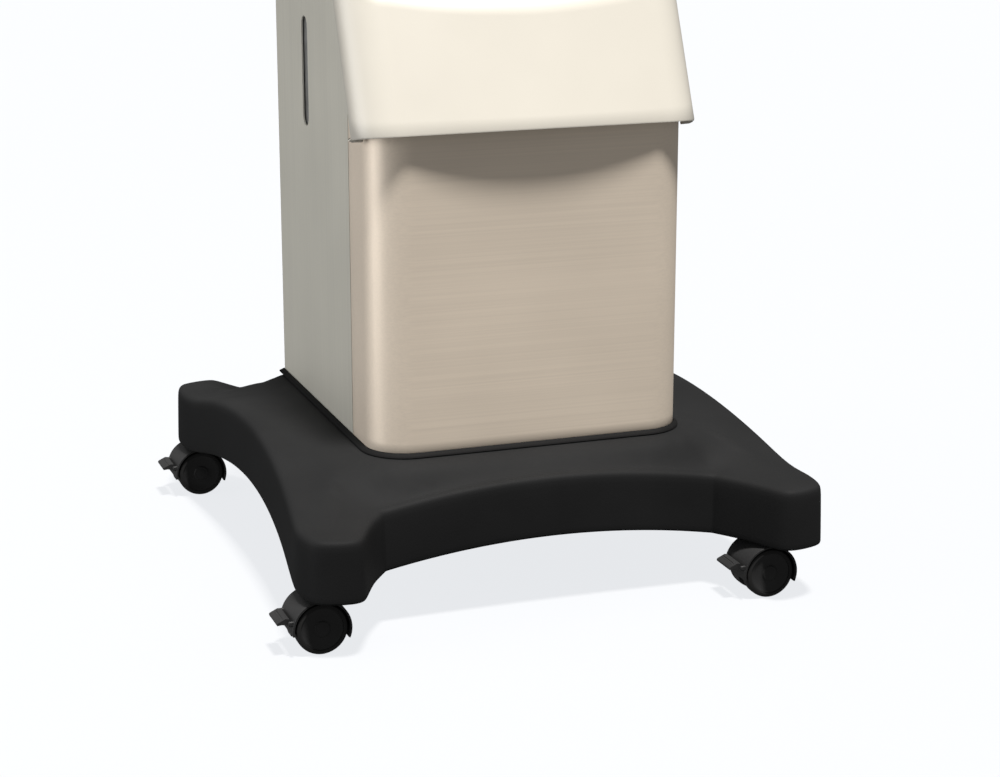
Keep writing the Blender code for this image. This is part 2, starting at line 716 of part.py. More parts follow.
def mains_inlet():
    """Flanged power inlet with a fuse drawer under its socket."""
    x, z = INLET
    depth = 0.0300
    face = COL_REAR + SHEET + 2 * GAP
    flange = box("mains_inlet", (0.0500, 0.0050, 0.0600), "black_moulding",
                 moved(x, face + 0.0025, z), edge=0.0010, segments=1)
    body = box("inlet_body", (0.0380, depth, 0.0480), "black_moulding",
               moved(x, face + 0.0010 - depth / 2, z))
    combine(flange, body, "UNION")
    socket = box("inlet_socket", (0.0260, 0.0260, 0.0180), "black_moulding",
                 moved(x, face - 0.0050, z + 0.0100))
    combine(flange, socket, "DIFFERENCE")
    pocket = box("fuse_pocket", (0.0280, 0.0240, 0.0120), "black_moulding",
                 moved(x, face - 0.0040, z - 0.0130))
    combine(flange, pocket, "DIFFERENCE")
    box("fuse_drawer", (0.0274, 0.0200, 0.0114), "black_moulding",
        moved(x, face - 0.0040 + 0.0008, z - 0.0130), edge=0.0006, segments=1)


# ---------------------------------------------------------------- inside the column

def chassis_tray():
    """Folded sheet that stands on the base and carries the deck on two uprights."""
    half = COL_X - SHEET - 0.0010
    floor, top = BASE_TOP + GAP, UNDER_DECK
    outline = [(-half, floor), (half, floor), (half, top), (half - SHEET, top),
               (half - SHEET, floor + SHEET), (SHEET - half, floor + SHEET),
               (SHEET - half, top), (-half, top)]
    front, rear = PANEL_HEAD_Y + 0.0050, COL_REAR - 0.0010
    sheet("chassis_tray", outline, rear - front, "zinc",
          moved(0, (front + rear) / 2, 0) @ FACING_FRONT)


def pump():
    floor = BASE_TOP + SHEET + 2 * GAP
    foot_h = PUMP_Z - MOTOR_R - 0.0100 - floor
    box("pump_isolation_mount", (0.100, 0.110, foot_h), "rubber",
        moved(0, 0.045, floor + foot_h / 2), edge=0.0030, segments=1)
    motor = rod("pump_motor", MOTOR_R, 0.118, "motor_paint", moved(0, 0.049, PUMP_Z) @ ALONG_Y, 32)
    plinth = box("motor_foot", (0.090, 0.100, 0.040), "motor_paint",
                 moved(0, 0.045, floor + foot_h + GAP + 0.020))
    combine(motor, plinth, "UNION")
    bore = rod("shaft_bore", 0.0070, 0.20, "motor_paint", moved(0, 0.049, PUMP_Z) @ ALONG_Y, 16)
    combine(motor, bore, "DIFFERENCE")

    # Local Z runs to the front, from the motor's face.
    head = moved(0, -0.0110, PUMP_Z) @ FACING_FRONT
    turned("pump_housing", [(0.0500, 0.0480), (0.0560, 0.0480), (0.0560, 0.0), (0.0070, 0.0),
                            (0.0070, 0.0060), (0.0500, 0.0060)], "cast_alloy", head, steps=24)
    turned("pump_cover", [(0.0, 0.0560), (0.0520, 0.0560), (0.0560, 0.0530), (0.0560, 0.0484),
                          (0.0, 0.0484)], "cast_alloy", head, steps=24, closed=False)
    turned("pump_rotor", [(0.0, 0.0470), (0.0440, 0.0470), (0.0440, 0.0080), (0.0055, 0.0080),
                          (0.0055, -0.1420), (0.0, -0.1420)], "zinc", head, steps=20, closed=False)
    blades = []
    for blade in range(9):
        base = 40.0 * blade
        blades += arc((0, 0), 0.0180, base, base + 20, 2) + arc((0, 0), 0.0460, base + 22, base + 38, 2)
    hub_hole = arc((0, 0), 0.0058, 0, 330, 11)
    sheet("cooling_fan", blades, 0.0120, "black_moulding", moved(0, 0.1200, PUMP_Z) @ FACING_FRONT,
          holes=(hub_hole,))
    muffler = [(0.0, 0.1500), (0.0060, 0.1500), (0.0060, 0.1320), (0.0200, 0.1280), (0.0220, 0.1220),
               (0.0220, 0.0020), (0.0200, 0.0), (0.0, 0.0)]
    turned("exhaust_muffler", muffler, "zinc", moved(-0.115, 0.100, floor), steps=16, closed=False)


base_moulding()
caster("caster_front_left", -1, -1, -1)
caster("caster_front_right", 1, -1, -1)
caster("caster_rear_left", -1, 1, -1)
caster("caster_rear_right", 1, 1, 1)
column_gasket()
front_cover()
side_panel("left_side_panel", -1)
side_panel("right_side_panel", 1)
rear_panel()
upper_fascia()
control_panel()
top_deck()
gauge()
regulator()
mains_switch()
canister_holder()
canister("canister_left", -1)
canister("canister_right", 1)
vacuum_port()
push_handle()
mains_inlet()
chassis_tray()
pump()
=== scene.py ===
"""Looks of the mobile suction pump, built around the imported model.

Metres, +Z up, front at -Y.  Every piece takes its place from the CAD nodes' boxes.
"""
import math

import bmesh
import bpy
from mathutils import Matrix, Vector
from mathutils.geometry import delaunay_2d_cdt
from mathutils.kdtree import KDTree


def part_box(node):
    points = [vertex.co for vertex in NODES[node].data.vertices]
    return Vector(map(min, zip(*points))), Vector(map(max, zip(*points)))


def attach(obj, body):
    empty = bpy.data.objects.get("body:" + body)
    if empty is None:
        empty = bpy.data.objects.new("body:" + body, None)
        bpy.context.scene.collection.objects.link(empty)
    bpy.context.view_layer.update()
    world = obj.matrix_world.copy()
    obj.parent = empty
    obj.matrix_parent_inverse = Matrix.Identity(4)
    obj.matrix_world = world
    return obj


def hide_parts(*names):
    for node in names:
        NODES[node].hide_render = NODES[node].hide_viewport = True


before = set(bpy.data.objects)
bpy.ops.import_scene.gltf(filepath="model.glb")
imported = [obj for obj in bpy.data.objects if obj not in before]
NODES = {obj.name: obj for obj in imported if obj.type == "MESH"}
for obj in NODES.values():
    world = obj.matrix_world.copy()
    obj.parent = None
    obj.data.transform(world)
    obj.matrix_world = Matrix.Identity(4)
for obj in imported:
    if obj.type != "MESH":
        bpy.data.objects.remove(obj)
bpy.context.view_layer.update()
MACHINE = "machine"

# Camera, in metres, radians and millimetres of lens
CAMERA_PLACE = (-0.7629, -2.2271, 0.8051)
CAMERA_YAW = 0.3401
CAMERA_PITCH = 0.2676
CAMERA_LENS = 85.03
CAMERA_SENSOR = 36.0

# Light; the sun's angles are in degrees
SUN_TILT, SUN_TURN, SUN_SPREAD = 14.5, 10.0, 8.5
SUN_POWER, SUN_COLOUR = 7.0, (1.0, 0.975, 0.94)
FILL_PLACE, FILL_TARGET = Vector((-2.8, 0.2, 0.60)), Vector((0.0, 0.0, 0.10))
FILL_POWER, FILL_SIZE = 42.0, 1.8
SURROUND_POWER, SURROUND_COLOUR = 0.21, (1.0, 0.995, 0.98)
FLOOR_COLOUR, FLOOR_GLOW = (0.075, 0.075, 0.076), 0.83

# Shapes that the CAD has too
PANEL_TILT = math.radians(42.0)
HEAD_TILT = math.radians(24.0)
COLUMN_RADIUS = 0.040
SHEET = 0.0015


# ---------------------------------------- small helpers

def moved(x, y, z):
    return Matrix.Translation((x, y, z))


def turn(axis, degrees):
    return Matrix.Rotation(math.radians(degrees), 4, axis)


FACING_FRONT = turn("X", 90)
FACING_BACK = turn("X", -90)
# X along the machine's Y, Y upwards, Z along the machine's X
SIDE_PLANE = Matrix(((0, 0, 1, 0), (1, 0, 0, 0), (0, 1, 0, 0), (0, 0, 0, 1)))


def span(node):
    """A node's low and high corners and its middle."""
    low, high = (Vector(corner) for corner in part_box(node))
    return low, high, (low + high) / 2


def around(steps):
    """The angles of even steps round a circle."""
    return [2 * math.pi * k / steps for k in range(steps)]


def arc(centre, radius, start, end, count):
    """Points on a circle between two angles in degrees, both ends included."""
    steps = [math.radians(start + (end - start) * i / count) for i in range(count + 1)]
    return [(centre[0] + radius * math.cos(a), centre[1] + radius * math.sin(a)) for a in steps]


def rounded_rectangle(half_x, half_y, radius, count=6, centre=(0.0, 0.0)):
    points = []
    for index, (sign_x, sign_y) in enumerate(((1, -1), (1, 1), (-1, 1), (-1, -1))):
        corner = (centre[0] + sign_x * (half_x - radius), centre[1] + sign_y * (half_y - radius))
        points += arc(corner, radius, -90 + 90 * index, 90 * index, count)
    return points


# ---------------------------------------- materials

def shader(name, colour, metallic=0.0, roughness=0.5, **sockets):
    """A material with one Principled shader; sockets are set by their own names."""
    made = bpy.data.materials.new(name)
    made.use_nodes = True
    surface = made.node_tree.nodes["Principled BSDF"]
    surface.inputs["Base Color"].default_value = (*colour, 1.0)
    surface.inputs["Metallic"].default_value = metallic
    surface.inputs["Roughness"].default_value = roughness
    for socket, value in sockets.items():
        surface.inputs[socket.replace("_", " ")].default_value = value
    return made, surface


def node(made, kind, **values):
    item = made.node_tree.nodes.new(kind)
    for key, value in values.items():
        if key in item.inputs:
            item.inputs[key].default_value = value
        else:
            setattr(item, key, value)
    return item


def link(made, start, end):
    made.node_tree.links.new(start, end)


def noise_field(made, scale, detail, stretch=(1.0, 1.0, 1.0)):
    """Noise in the object's own space, stretched by a mapping."""
    place = node(made, "ShaderNodeTexCoord")
    mapping = node(made, "ShaderNodeMapping")
    mapping.inputs["Scale"].default_value = stretch
    link(made, place.outputs["Object"], mapping.inputs["Vector"])
    field = node(made, "ShaderNodeTexNoise", Scale=scale, Detail=detail)
    link(made, mapping.outputs["Vector"], field.inputs["Vector"])
    return field.outputs["Fac"]


def ramp(made, source, stops):
    """A colour ramp; stops are (position, colour)."""
    item = node(made, "ShaderNodeValToRGB")
    while len(item.color_ramp.elements) < len(stops):
        item.color_ramp.elements.new(0.5)
    for element, (position, colour) in zip(item.color_ramp.elements, stops):
        element.position = position
        element.color = (*colour, 1.0)
    link(made, source, item.inputs["Fac"])
    return item.outputs["Color"]


def remap(made, source, low, high):
    """A 0 to 1 value spread over another range."""
    item = node(made, "ShaderNodeMapRange")
    item.inputs["To Min"].default_value = low
    item.inputs["To Max"].default_value = high
    link(made, source, item.inputs["Value"])
    return item.outputs["Result"]


def bump(made, surface, source, strength, distance):
    item = node(made, "ShaderNodeBump", Strength=strength, Distance=distance)
    link(made, source, item.inputs["Height"])
    link(made, item.outputs["Normal"], surface.inputs["Normal"])


def mottled(made, source, colour, low, high, darker, lighter):
    """A colour that a noise drives from darker to lighter between two of its values."""
    return ramp(made, source, [(at, tuple(min(1.0, channel * factor) for channel in colour))
                               for at, factor in ((low, darker), (high, lighter))])


def brushed(name, colour, grain, roughness, metallic):
    """Brushed sheet: long fine scratches along the grain, and faint cloudy wear."""
    made, surface = shader(name, colour, metallic, roughness)
    stretch = tuple(2.5 if axis == grain else 620.0 for axis in "XYZ")
    lines = noise_field(made, 1.0, 4.0, stretch)
    clouds = noise_field(made, 7.0, 2.0)
    tone = mottled(made, lines, colour, 0.30, 0.70, 0.972, 1.028)
    haze = mottled(made, clouds, (1.0, 1.0, 1.0), 0.30, 0.72, 0.93, 1.0)
    mix = node(made, "ShaderNodeMix", data_type="RGBA", blend_type="MULTIPLY")
    mix.inputs["Factor"].default_value = 1.0
    link(made, tone, mix.inputs[6])
    link(made, haze, mix.inputs[7])
    link(made, mix.outputs[2], surface.inputs["Base Color"])
    link(made, remap(made, lines, roughness - 0.07, roughness + 0.09), surface.inputs["Roughness"])
    bump(made, surface, lines, 0.07, 0.0003)
    return made


def moulded(name, colour, roughness, grain=900.0, depth=0.00025, strength=0.5, blotch=0.14,
            gloss=0.5):
    """Moulded plastic: spark-eroded texture, cloudy colour and slightly uneven gloss."""
    made, surface = shader(name, colour, 0.0, roughness, Specular_IOR_Level=gloss)
    fine = noise_field(made, grain, 2.0)
    clouds = noise_field(made, 9.0, 3.0)
    tone = mottled(made, clouds, colour, 0.28, 0.72, 1.0 - blotch, 1.0 + blotch)
    link(made, tone, surface.inputs["Base Color"])
    link(made, remap(made, clouds, roughness - 0.06, roughness + 0.07), surface.inputs["Roughness"])
    bump(made, surface, fine, strength, depth)
    return made


def metal(name, colour, roughness):
    """Plated or cast metal with a mottled finish."""
    made, surface = shader(name, colour, 1.0, roughness)
    mottle = noise_field(made, 60.0, 4.0)
    tone = mottled(made, mottle, colour, 0.30, 0.70, 0.82, 1.08)
    link(made, tone, surface.inputs["Base Color"])
    link(made, remap(made, mottle, roughness - 0.08, roughness + 0.10), surface.inputs["Roughness"])
    bump(made, surface, noise_field(made, 420.0, 3.0), 0.15, 0.0002)
    return made


def clear(name, colour, roughness=0.04):
    """Clear moulded plastic with a trace of haze."""
    made, surface = shader(name, colour, 0.0, roughness, IOR=1.46, Transmission_Weight=1.0)
    haze = noise_field(made, 25.0, 3.0)
    link(made, remap(made, haze, roughness, roughness + 0.07), surface.inputs["Roughness"])
    return made


# Front and side sheets are one stainless steel; the front copy's warm tan colour is a painted
# reflection of warm surroundings.
STEEL_FRONT_WARM_REFLECTION = brushed("steel_front_painted_warm_reflection", (0.880, 0.768, 0.640), "X", 0.48, 0.36)
STEEL_SIDE = brushed("steel_side", (0.820, 0.800, 0.710), "Z", 0.44, 0.50)
CREAM = moulded("cream_paint", (0.570, 0.543, 0.484), 0.38, 600.0, 0.0001, 0.25, 0.02)
# The same cream paint as the fascia, darkened for the upward faces (deck, board, brow) that the
# overhead sun lights most: painted shade.
CREAM_SHADED_TOPS = moulded("cream_painted_shade_tops", (0.420, 0.400, 0.354), 0.40, 600.0, 0.0001, 0.25, 0.02)
BLACK = moulded("black_moulding", (0.0125, 0.0128, 0.0133), 0.66, gloss=0.06)
CASTER_BLACK = moulded("caster_nylon", (0.0230, 0.0232, 0.0240), 0.45, 700.0, 0.0002, 0.3,
                       gloss=0.20)
TREAD = moulded("caster_tread", (0.0200, 0.0200, 0.0205), 0.60, 500.0, 0.0002, 0.4, gloss=0.15)
RUBBER = moulded("rubber", (0.0060, 0.0060, 0.0062), 0.75, 500.0, 0.0002, 0.4, gloss=0.10)
GLOSS_BLACK = moulded("gloss_black", (0.0180, 0.0180, 0.0185), 0.28, 1200.0, 0.0001, 0.15)
GRIP = moulded("grip_foam", (0.0200, 0.0200, 0.0205), 0.80, 350.0, 0.0006, 0.8)
ZINC = metal("zinc_plate", (0.560, 0.570, 0.580), 0.32)
CAST = metal("cast_alloy", (0.480, 0.480, 0.470), 0.50)
ENAMEL = moulded("motor_enamel", (0.085, 0.140, 0.220), 0.42, 500.0, 0.0002, 0.3)
DIAL = moulded("dial_face", (0.800, 0.800, 0.770), 0.50, 900.0, 0.00005, 0.1, 0.02)
INK = moulded("dial_ink", (0.0120, 0.0120, 0.0130), 0.50, 900.0, 0.00005, 0.1)
RED = moulded("signal_red", (0.520, 0.035, 0.025), 0.32, 900.0, 0.0001, 0.15, 0.05)
GREEN = moulded("zone_green", (0.090, 0.360, 0.120), 0.50, 900.0, 0.0001, 0.1, 0.05)
LID = moulded("lid_blue", (0.060, 0.190, 0.380), 0.34, 700.0, 0.0001, 0.2, 0.05)
VALVE_WHITE = moulded("float_white", (0.780, 0.780, 0.750), 0.40, 700.0, 0.0001, 0.2, 0.03)
OVERLAY = moulded("panel_overlay", (0.105, 0.120, 0.130), 0.36, 900.0, 0.0001, 0.25, 0.05)
# Near-black that stands in for shade: painted shade in the screws' cross recesses and behind the
# side slots.
SHADOW_BLACK = moulded("painted_shade_black", (0.0060, 0.0060, 0.0060), 0.80)
CLEAR = clear("clear_jar", (0.93, 0.96, 0.97))
LENS = clear("gauge_glass", (0.97, 0.98, 0.98), 0.01)


# ---------------------------------------- making pieces

def placed(name, content):
    """A new object in the scene."""
    item = bpy.data.objects.new(name, content)
    bpy.context.scene.collection.objects.link(item)
    return item


def meshed(name, data, look):
    """An object made from a bmesh, with its look."""
    mesh = bpy.data.meshes.new(name)
    data.to_mesh(mesh)
    data.free()
    mesh.materials.append(look)
    return placed(name, mesh)


def piece(name, data, look, body=MACHINE, matrix=None, smooth=35, stands_for=None, slot=None):
    """A visible piece that rides on a body; smooth is the angle of its sharp edges."""
    item = meshed(name, data, look)
    if smooth:
        item.data.shade_smooth()
        item.data.set_sharp_from_angle(angle=math.radians(smooth))
    if matrix is not None:
        item.matrix_world = matrix
    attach(item, body)
    if stands_for:
        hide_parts(stands_for)
    return item


def rounded(item, width, segments=2, angle=40):
    """Bevel the edges that are sharper than the angle."""
    bevel = item.modifiers.new("Rounded edges", "BEVEL")
    bevel.width = width
    bevel.segments = segments
    bevel.limit_method = "ANGLE"
    bevel.angle_limit = math.radians(angle)
    bevel.harden_normals = False
    return item


def bridge(data, lower, upper, closed=True):
    """Quads between two rows of as many vertices."""
    count = len(lower)
    for i in range(count if closed else count - 1):
        j = (i + 1) % count
        data.faces.new((lower[i], lower[j], upper[j], upper[i]))


def loft(data, rings):
    """A closed solid through rings, listed from its lower end."""
    for lower, upper in zip(rings, rings[1:]):
        bridge(data, lower, upper)
    data.faces.new(list(reversed(rings[0])))
    data.faces.new(rings[-1])


def turned(name, profile, look, matrix, body=MACHINE, steps=48, closed=True, **more):
    """Turn a profile of (radius, height) about the matrix's Z; it runs down its outer side."""
    data = bmesh.new()
    rows = [[data.verts.new((r * math.cos(a), r * math.sin(a), h)) for r, h in profile]
            for a in around(steps)]
    for here, there in zip(rows, rows[1:] + rows[:1]):
        bridge(data, here, there, closed)
    bmesh.ops.remove_doubles(data, verts=data.verts, dist=0.000001)
    return piece(name, data, look, body, matrix, **more)


def filled(curve, merge):
    """A curve's or a text's surface; points nearer than merge become one."""
    shape = placed(curve.name + "_curve", curve)
    bpy.context.view_layer.update()
    drawn = shape.evaluated_get(bpy.context.evaluated_depsgraph_get())
    data = bmesh.new()
    data.from_mesh(bpy.data.meshes.new_from_object(drawn))
    bpy.data.objects.remove(shape, do_unlink=True)
    bmesh.ops.remove_doubles(data, verts=data.verts, dist=merge)
    return data


def slab(name, outline, thickness, look, matrix, body=MACHINE, holes=(), edge=0.0, **more):
    """A flat outline thickened about the matrix's XY plane, with holes and rounded edges."""
    curve = bpy.data.curves.new(name, "CURVE")
    curve.dimensions = "2D"
    curve.fill_mode = "BOTH"
    curve.extrude = thickness / 2
    for points in (outline, *holes):
        spline = curve.splines.new("POLY")
        spline.points.add(len(points) - 1)
        for knot, (x, y) in zip(spline.points, points):
            knot.co = (x, y, 0.0, 1.0)
        spline.use_cyclic_u = True
    data = filled(curve, 0.000005)
    bmesh.ops.recalc_face_normals(data, faces=data.faces)
    item = piece(name, data, look, body, matrix, **more)
    if edge:
        rounded(item, edge)
    return item


def cuboid(data, size, place):
    """Add a box of the given size about the place's origin."""
    return bmesh.ops.create_cube(data, size=1.0, matrix=place @ Matrix.Diagonal((*size, 1.0)))


def blocks(name, items, look, matrix, body=MACHINE, edge=0.0003):
    """Many small blocks as one piece; items are (size, place) in the matrix's space."""
    data = bmesh.new()
    for size, place in items:
        cuboid(data, size, place)
    rounded(piece(name, data, look, body, matrix), edge)


def block(name, size, look, matrix, body=MACHINE, edge=0.0008):
    """One block about the matrix's origin."""
    blocks(name, [(size, Matrix())], look, matrix, body, edge)


def tube(name, points, radius, look, sides, **more):
    """A swept tube of the machine's through the given points, with closed ends."""
    data = bmesh.new()
    rings = []
    for index, point in enumerate(points):
        before = Vector(points[max(index - 1, 0)])
        after = Vector(points[min(index + 1, len(points) - 1)])
        along = (after - before).normalized()
        if index == 0:
            side = along.orthogonal().normalized()
        else:
            side = (side - along * side.dot(along)).normalized()
        up = along.cross(side)
        spokes = [(side * math.cos(a) + up * math.sin(a)) * radius for a in around(sides)]
        rings.append([data.verts.new(Vector(point) + spoke) for spoke in spokes])
    loft(data, rings)
    piece(name, data, look, smooth=50, **more)


def screw(name, at, radius):
    """A pan-head screw whose cross recess is two bars in the painted-shade black; the matrix's Z
    points out of the head.
    """
    data = bmesh.new()
    dome = [(1.0, 0.0), (0.92, 0.21), (0.72, 0.405), (0.38, 0.51), (0.16, 0.525)]
    loft(data, [[data.verts.new((r * radius * math.cos(a), r * radius * math.sin(a), h * radius))
                 for a in around(20)] for r, h in dome])
    # Painted shade: the recess is not cut, its darkness is painted on two bars.
    slot = (radius * 1.15, radius * 0.22, radius * 0.12)
    for angle in (20, 110):
        made = cuboid(data, slot, turn("Z", angle) @ moved(0, 0, radius * 0.50))
        for vert in made["verts"]:
            for face in vert.link_faces:
                face.material_index = 1
    piece(name, data, ZINC, matrix=at).data.materials.append(SHADOW_BLACK)


def keep(look, *node_names):
    """CAD nodes that stay as they are, with a finished material."""
    for node_name in node_names:
        materials = NODES[node_name].data.materials
        materials.clear()
        materials.append(look)


# ---------------------------------------- base

BASE_HALF = (0.2615, 0.2985)
BASE_WALL = 0.0040
BASE_TOP = 0.1470
LEG_BOTTOM = 0.0543
FRONT_RISE = 0.016
SIDE_RISE = 0.032
SIDE_SPAN = 0.215
WALL_STEPS, SIDE_STEPS = 8, 10   # parts of the straight front and of a side's half
TOP_SPACING = 0.009              # mesh of the top
RIM_PARTS = 8


def base_quadrant():
    """Plan points from the front middle to the waist, with the height the band arches there."""
    wall_end, wall_y, waist, side_end = 0.166, -0.2225, 0.244, 0.250
    points = []
    for step in range(WALL_STEPS + 1):
        t = step / WALL_STEPS
        points.append((wall_end * t, wall_y, FRONT_RISE * (1 - t * t)))
    leg = ((0.1668, -0.2235), (0.1682, -0.2255), (0.1765, -0.2371), (0.1870, -0.2520),
           (0.1960, -0.2705), (0.2040, -0.2870), (0.2072, -0.2925), (0.2120, -0.2965),
           (0.2200, -0.2985), (0.2340, -0.2965), (0.2470, -0.2918), (0.2530, -0.2872),
           (0.2572, -0.2800), (0.2596, -0.2690))
    points += [(x, y, 0.0) for x, y in leg]
    for step in range(SIDE_STEPS + 1):
        t = 1 - step / SIDE_STEPS
        x = waist + (BASE_HALF[0] - waist) * t * t
        y = -side_end * t
        points.append((x, y, SIDE_RISE * max(0.0, 1 - (y / SIDE_SPAN) ** 2)))
    return points


def all_round(quadrant):
    """A whole ring from its front right quarter; the ends on the two axes aren't doubled."""
    rear_right = [(x, -y, *rest) for x, y, *rest in reversed(quadrant[:-1])]
    right = quadrant + rear_right
    left = [(-x, y, *rest) for x, y, *rest in reversed(right[1:-1])]
    return right + left


def inset(ring, distance):
    """A ring's plan points moved towards its inside."""
    result = []
    for index, point in enumerate(ring):
        before = Vector(ring[index - 1][:2])
        after = Vector(ring[(index + 1) % len(ring)][:2])
        along = (after - before).normalized()
        result.append((point[0] - along.y * distance, point[1] + along.x * distance))
    return result


def collar_ring(offset, quadrant_size):
    """The column's footprint grown by offset, point for point with the base's outline."""
    low, high, middle = span("column_gasket")
    rim = 0.004
    half_x = (high.x - low.x) / 2 - rim + offset
    half_y = (high.y - low.y) / 2 - rim + offset
    corner = COLUMN_RADIUS + offset
    points = [((half_x - corner) * step / WALL_STEPS, -half_y) for step in range(WALL_STEPS)]
    leg_steps = quadrant_size - WALL_STEPS - SIDE_STEPS - 1
    points += arc((half_x - corner, corner - half_y), corner, -90, 0, leg_steps)
    start = corner - half_y
    points += [(half_x, start * (1 - step / SIDE_STEPS)) for step in range(1, SIDE_STEPS + 1)]
    return [(x, y + middle.y) for x, y in all_round(points)]


def within(x, y, ring):
    """Whether a plan point lies inside a closed ring."""
    crossings = 0
    for (ax, ay, *_), (bx, by, *_) in zip(ring, ring[1:] + ring[:1]):
        if (ay > y) != (by > y) and x < ax + (bx - ax) * (y - ay) / (by - ay):
            crossings += 1
    return crossings % 2 == 1


def rim_finder(ring):
    """A tree that finds the nearest place along a ring in plan, and the places it knows."""
    points = [Vector(a).lerp(Vector(b), part / RIM_PARTS)
              for a, b in zip(ring, ring[1:] + ring[:1]) for part in range(RIM_PARTS)]
    tree = KDTree(len(points))
    for index, point in enumerate(points):
        tree.insert((point.x, point.y, 0.0), index)
    tree.balance()
    return tree, points


def sloping_top(data, shoulder, collar):
    """Fill between two rings with an even mesh that leaves and meets them level."""
    outer, inner = ([tuple(vert.co) for vert in ring] for ring in (shoulder, collar))
    (outer_tree, outer_points), (inner_tree, inner_points) = rim_finder(outer), rim_finder(inner)
    plan = [Vector(point[:2]) for point in outer + inner]
    count = len(outer)
    edges = [(first + i, first + (i + 1) % count) for first in (0, count) for i in range(count)]
    last_column, last_row = (math.floor(half / TOP_SPACING) for half in BASE_HALF)
    for column in range(-last_column, last_column + 1):
        for row in range(-last_row, last_row + 1):
            x, y = column * TOP_SPACING, row * TOP_SPACING
            near = min(outer_tree.find((x, y, 0.0))[2], inner_tree.find((x, y, 0.0))[2])
            if near > 0.6 * TOP_SPACING and within(x, y, outer) and not within(x, y, inner):
                plan.append(Vector((x, y)))
    places, _, faces, origins, _, _ = delaunay_2d_cdt(plan, edges, [], 1, 0.000001)
    rims = shoulder + collar
    verts = []
    for place, origin in zip(places, origins):
        if origin and origin[0] < len(rims):
            verts.append(rims[origin[0]])
            continue
        _, outer_index, outer_gap = outer_tree.find((*place, 0.0))
        _, inner_index, inner_gap = inner_tree.find((*place, 0.0))
        share = outer_gap / (outer_gap + inner_gap)
        low, high = outer_points[outer_index].z, inner_points[inner_index].z
        ease = share * share * (3 - 2 * share)
        verts.append(data.verts.new((*place, low + (high - low) * ease)))
    for face in faces:
        middle = sum((places[i] for i in face), Vector((0.0, 0.0))) / len(face)
        if within(*middle, outer) and not within(*middle, inner):
            data.faces.new([verts[i] for i in face])


def base():
    """The moulded base: a textured shell with rounded shoulders and arched sides."""
    quadrant = base_quadrant()
    outline = all_round(quadrant)
    rings = []
    for inward, height in ((0.0012, 0.0), (0.0002, 0.0010), (0.0, 0.0030), (0.0008, 0.030),
                           (0.0014, 0.0520), (0.0022, 0.0570), (0.0046, 0.0596), (0.0090, 0.0604),
                           (0.0120, 0.0606)):
        plan = inset(outline, inward)
        rings.append([(x, y, LEG_BOTTOM + rise + height)
                      for (x, y), (_, _, rise) in zip(plan, outline)])
    shoulder = len(rings) - 1
    for grown, drop in ((0.0200, 0.0030), (0.0090, 0.0004), (0.0050, 0.0)):
        rings.append([(x, y, BASE_TOP - drop) for x, y in collar_ring(grown, len(quadrant))])
    data = bmesh.new()
    rows = [[data.verts.new(point) for point in ring] for ring in rings]
    for index, (lower, upper) in enumerate(zip(rows, rows[1:])):
        if index == shoulder:
            sloping_top(data, lower, upper)
        else:
            bridge(data, lower, upper)
    inner = [data.verts.new((x * 0.5, (y - 0.001) * 0.5 + 0.001, BASE_TOP))
             for x, y, _ in rings[-1]]
    bridge(data, rows[-1], inner)
    data.faces.new(inner)
    item = piece("base_shell", data, BLACK, smooth=60, stands_for="base_moulding",
                 slot="black_moulding")
    wall = item.modifiers.new("Wall", "SOLIDIFY")
    wall.thickness = BASE_WALL
    wall.offset = -1
    smooth = item.modifiers.new("Smooth", "SUBSURF")
    smooth.levels = smooth.render_levels = 1


def stem_sockets():
    """Bosses inside the legs that hold the caster stems, and the washers under them."""
    bore, boss, tall = 0.0062, 0.0150, 0.058
    socket = [(bore, 0.0), (boss, 0.0), (boss, tall), (bore, tall)]
    washer = [(0.0120, 0.0012), (0.0120, 0.0), (0.0060, 0.0), (0.0060, 0.0012)]
    for name in CASTERS:
        middle = span(f"{name}_stem")[2]
        for kind, profile, look, lift in (("socket", socket, BLACK, 0.0022),
                                          ("washer", washer, ZINC, 0.0006)):
            turned(f"{name}_{kind}", profile, look,
                   moved(middle.x, middle.y, LEG_BOTTOM + lift), steps=32)


# ---------------------------------------- casters

# Each caster's name, and the side on X to which its lever points
CASTERS = {"caster_front_left": -1, "caster_front_right": -1,
           "caster_rear_left": -1, "caster_rear_right": 1}


def caster(name, trail):
    """A hood over its web and collar, two wheels and a ribbed brake lever."""
    swivel = f"{name}_swivel"
    axle = span(f"{name}_axle")[2]
    body_low, body_high, _ = span(f"{name}_body")
    centre = moved(*axle)
    hood_radius, web_width = 0.0280, 0.0118
    flat = body_high.z - axle.z
    start, end = (-22, 188) if trail < 0 else (-8, 202)

    def capped(inward, down, first, last, count):
        round_arc = arc((0, 0), hood_radius - inward, first, last, count)
        return [(x, min(z, flat - down)) for x, z in round_arc]

    hood = capped(0.0, 0.0, start, end, 40) + capped(0.0018, 0.0014, end, start, 40)
    slab(f"{name}_hood", hood, body_high.y - body_low.y, CASTER_BLACK,
         centre @ FACING_FRONT, swivel, edge=0.0006, stands_for=f"{name}_body", slot="caster_body")
    slab(f"{name}_web", capped(0.0010, 0.0008, -20, 200, 32), web_width, CASTER_BLACK,
         centre @ FACING_FRONT, swivel, edge=0.0010)
    stem = span(f"{name}_stem")[2]
    collar = [(0.0043, 0.0036), (0.0078, 0.0036), (0.0086, 0.0028), (0.0086, 0.0), (0.0043, 0.0)]
    turned(f"{name}_collar", collar, CASTER_BLACK,
           moved(stem.x, stem.y, body_high.z - 0.0038), swivel, steps=32)
    keep(ZINC, f"{name}_stem", f"{name}_axle")
    for side, facing in (("front_wheel", -1), ("rear_wheel", 1)):
        wheel(f"{name}_{side}", facing)
    lever(name, trail)


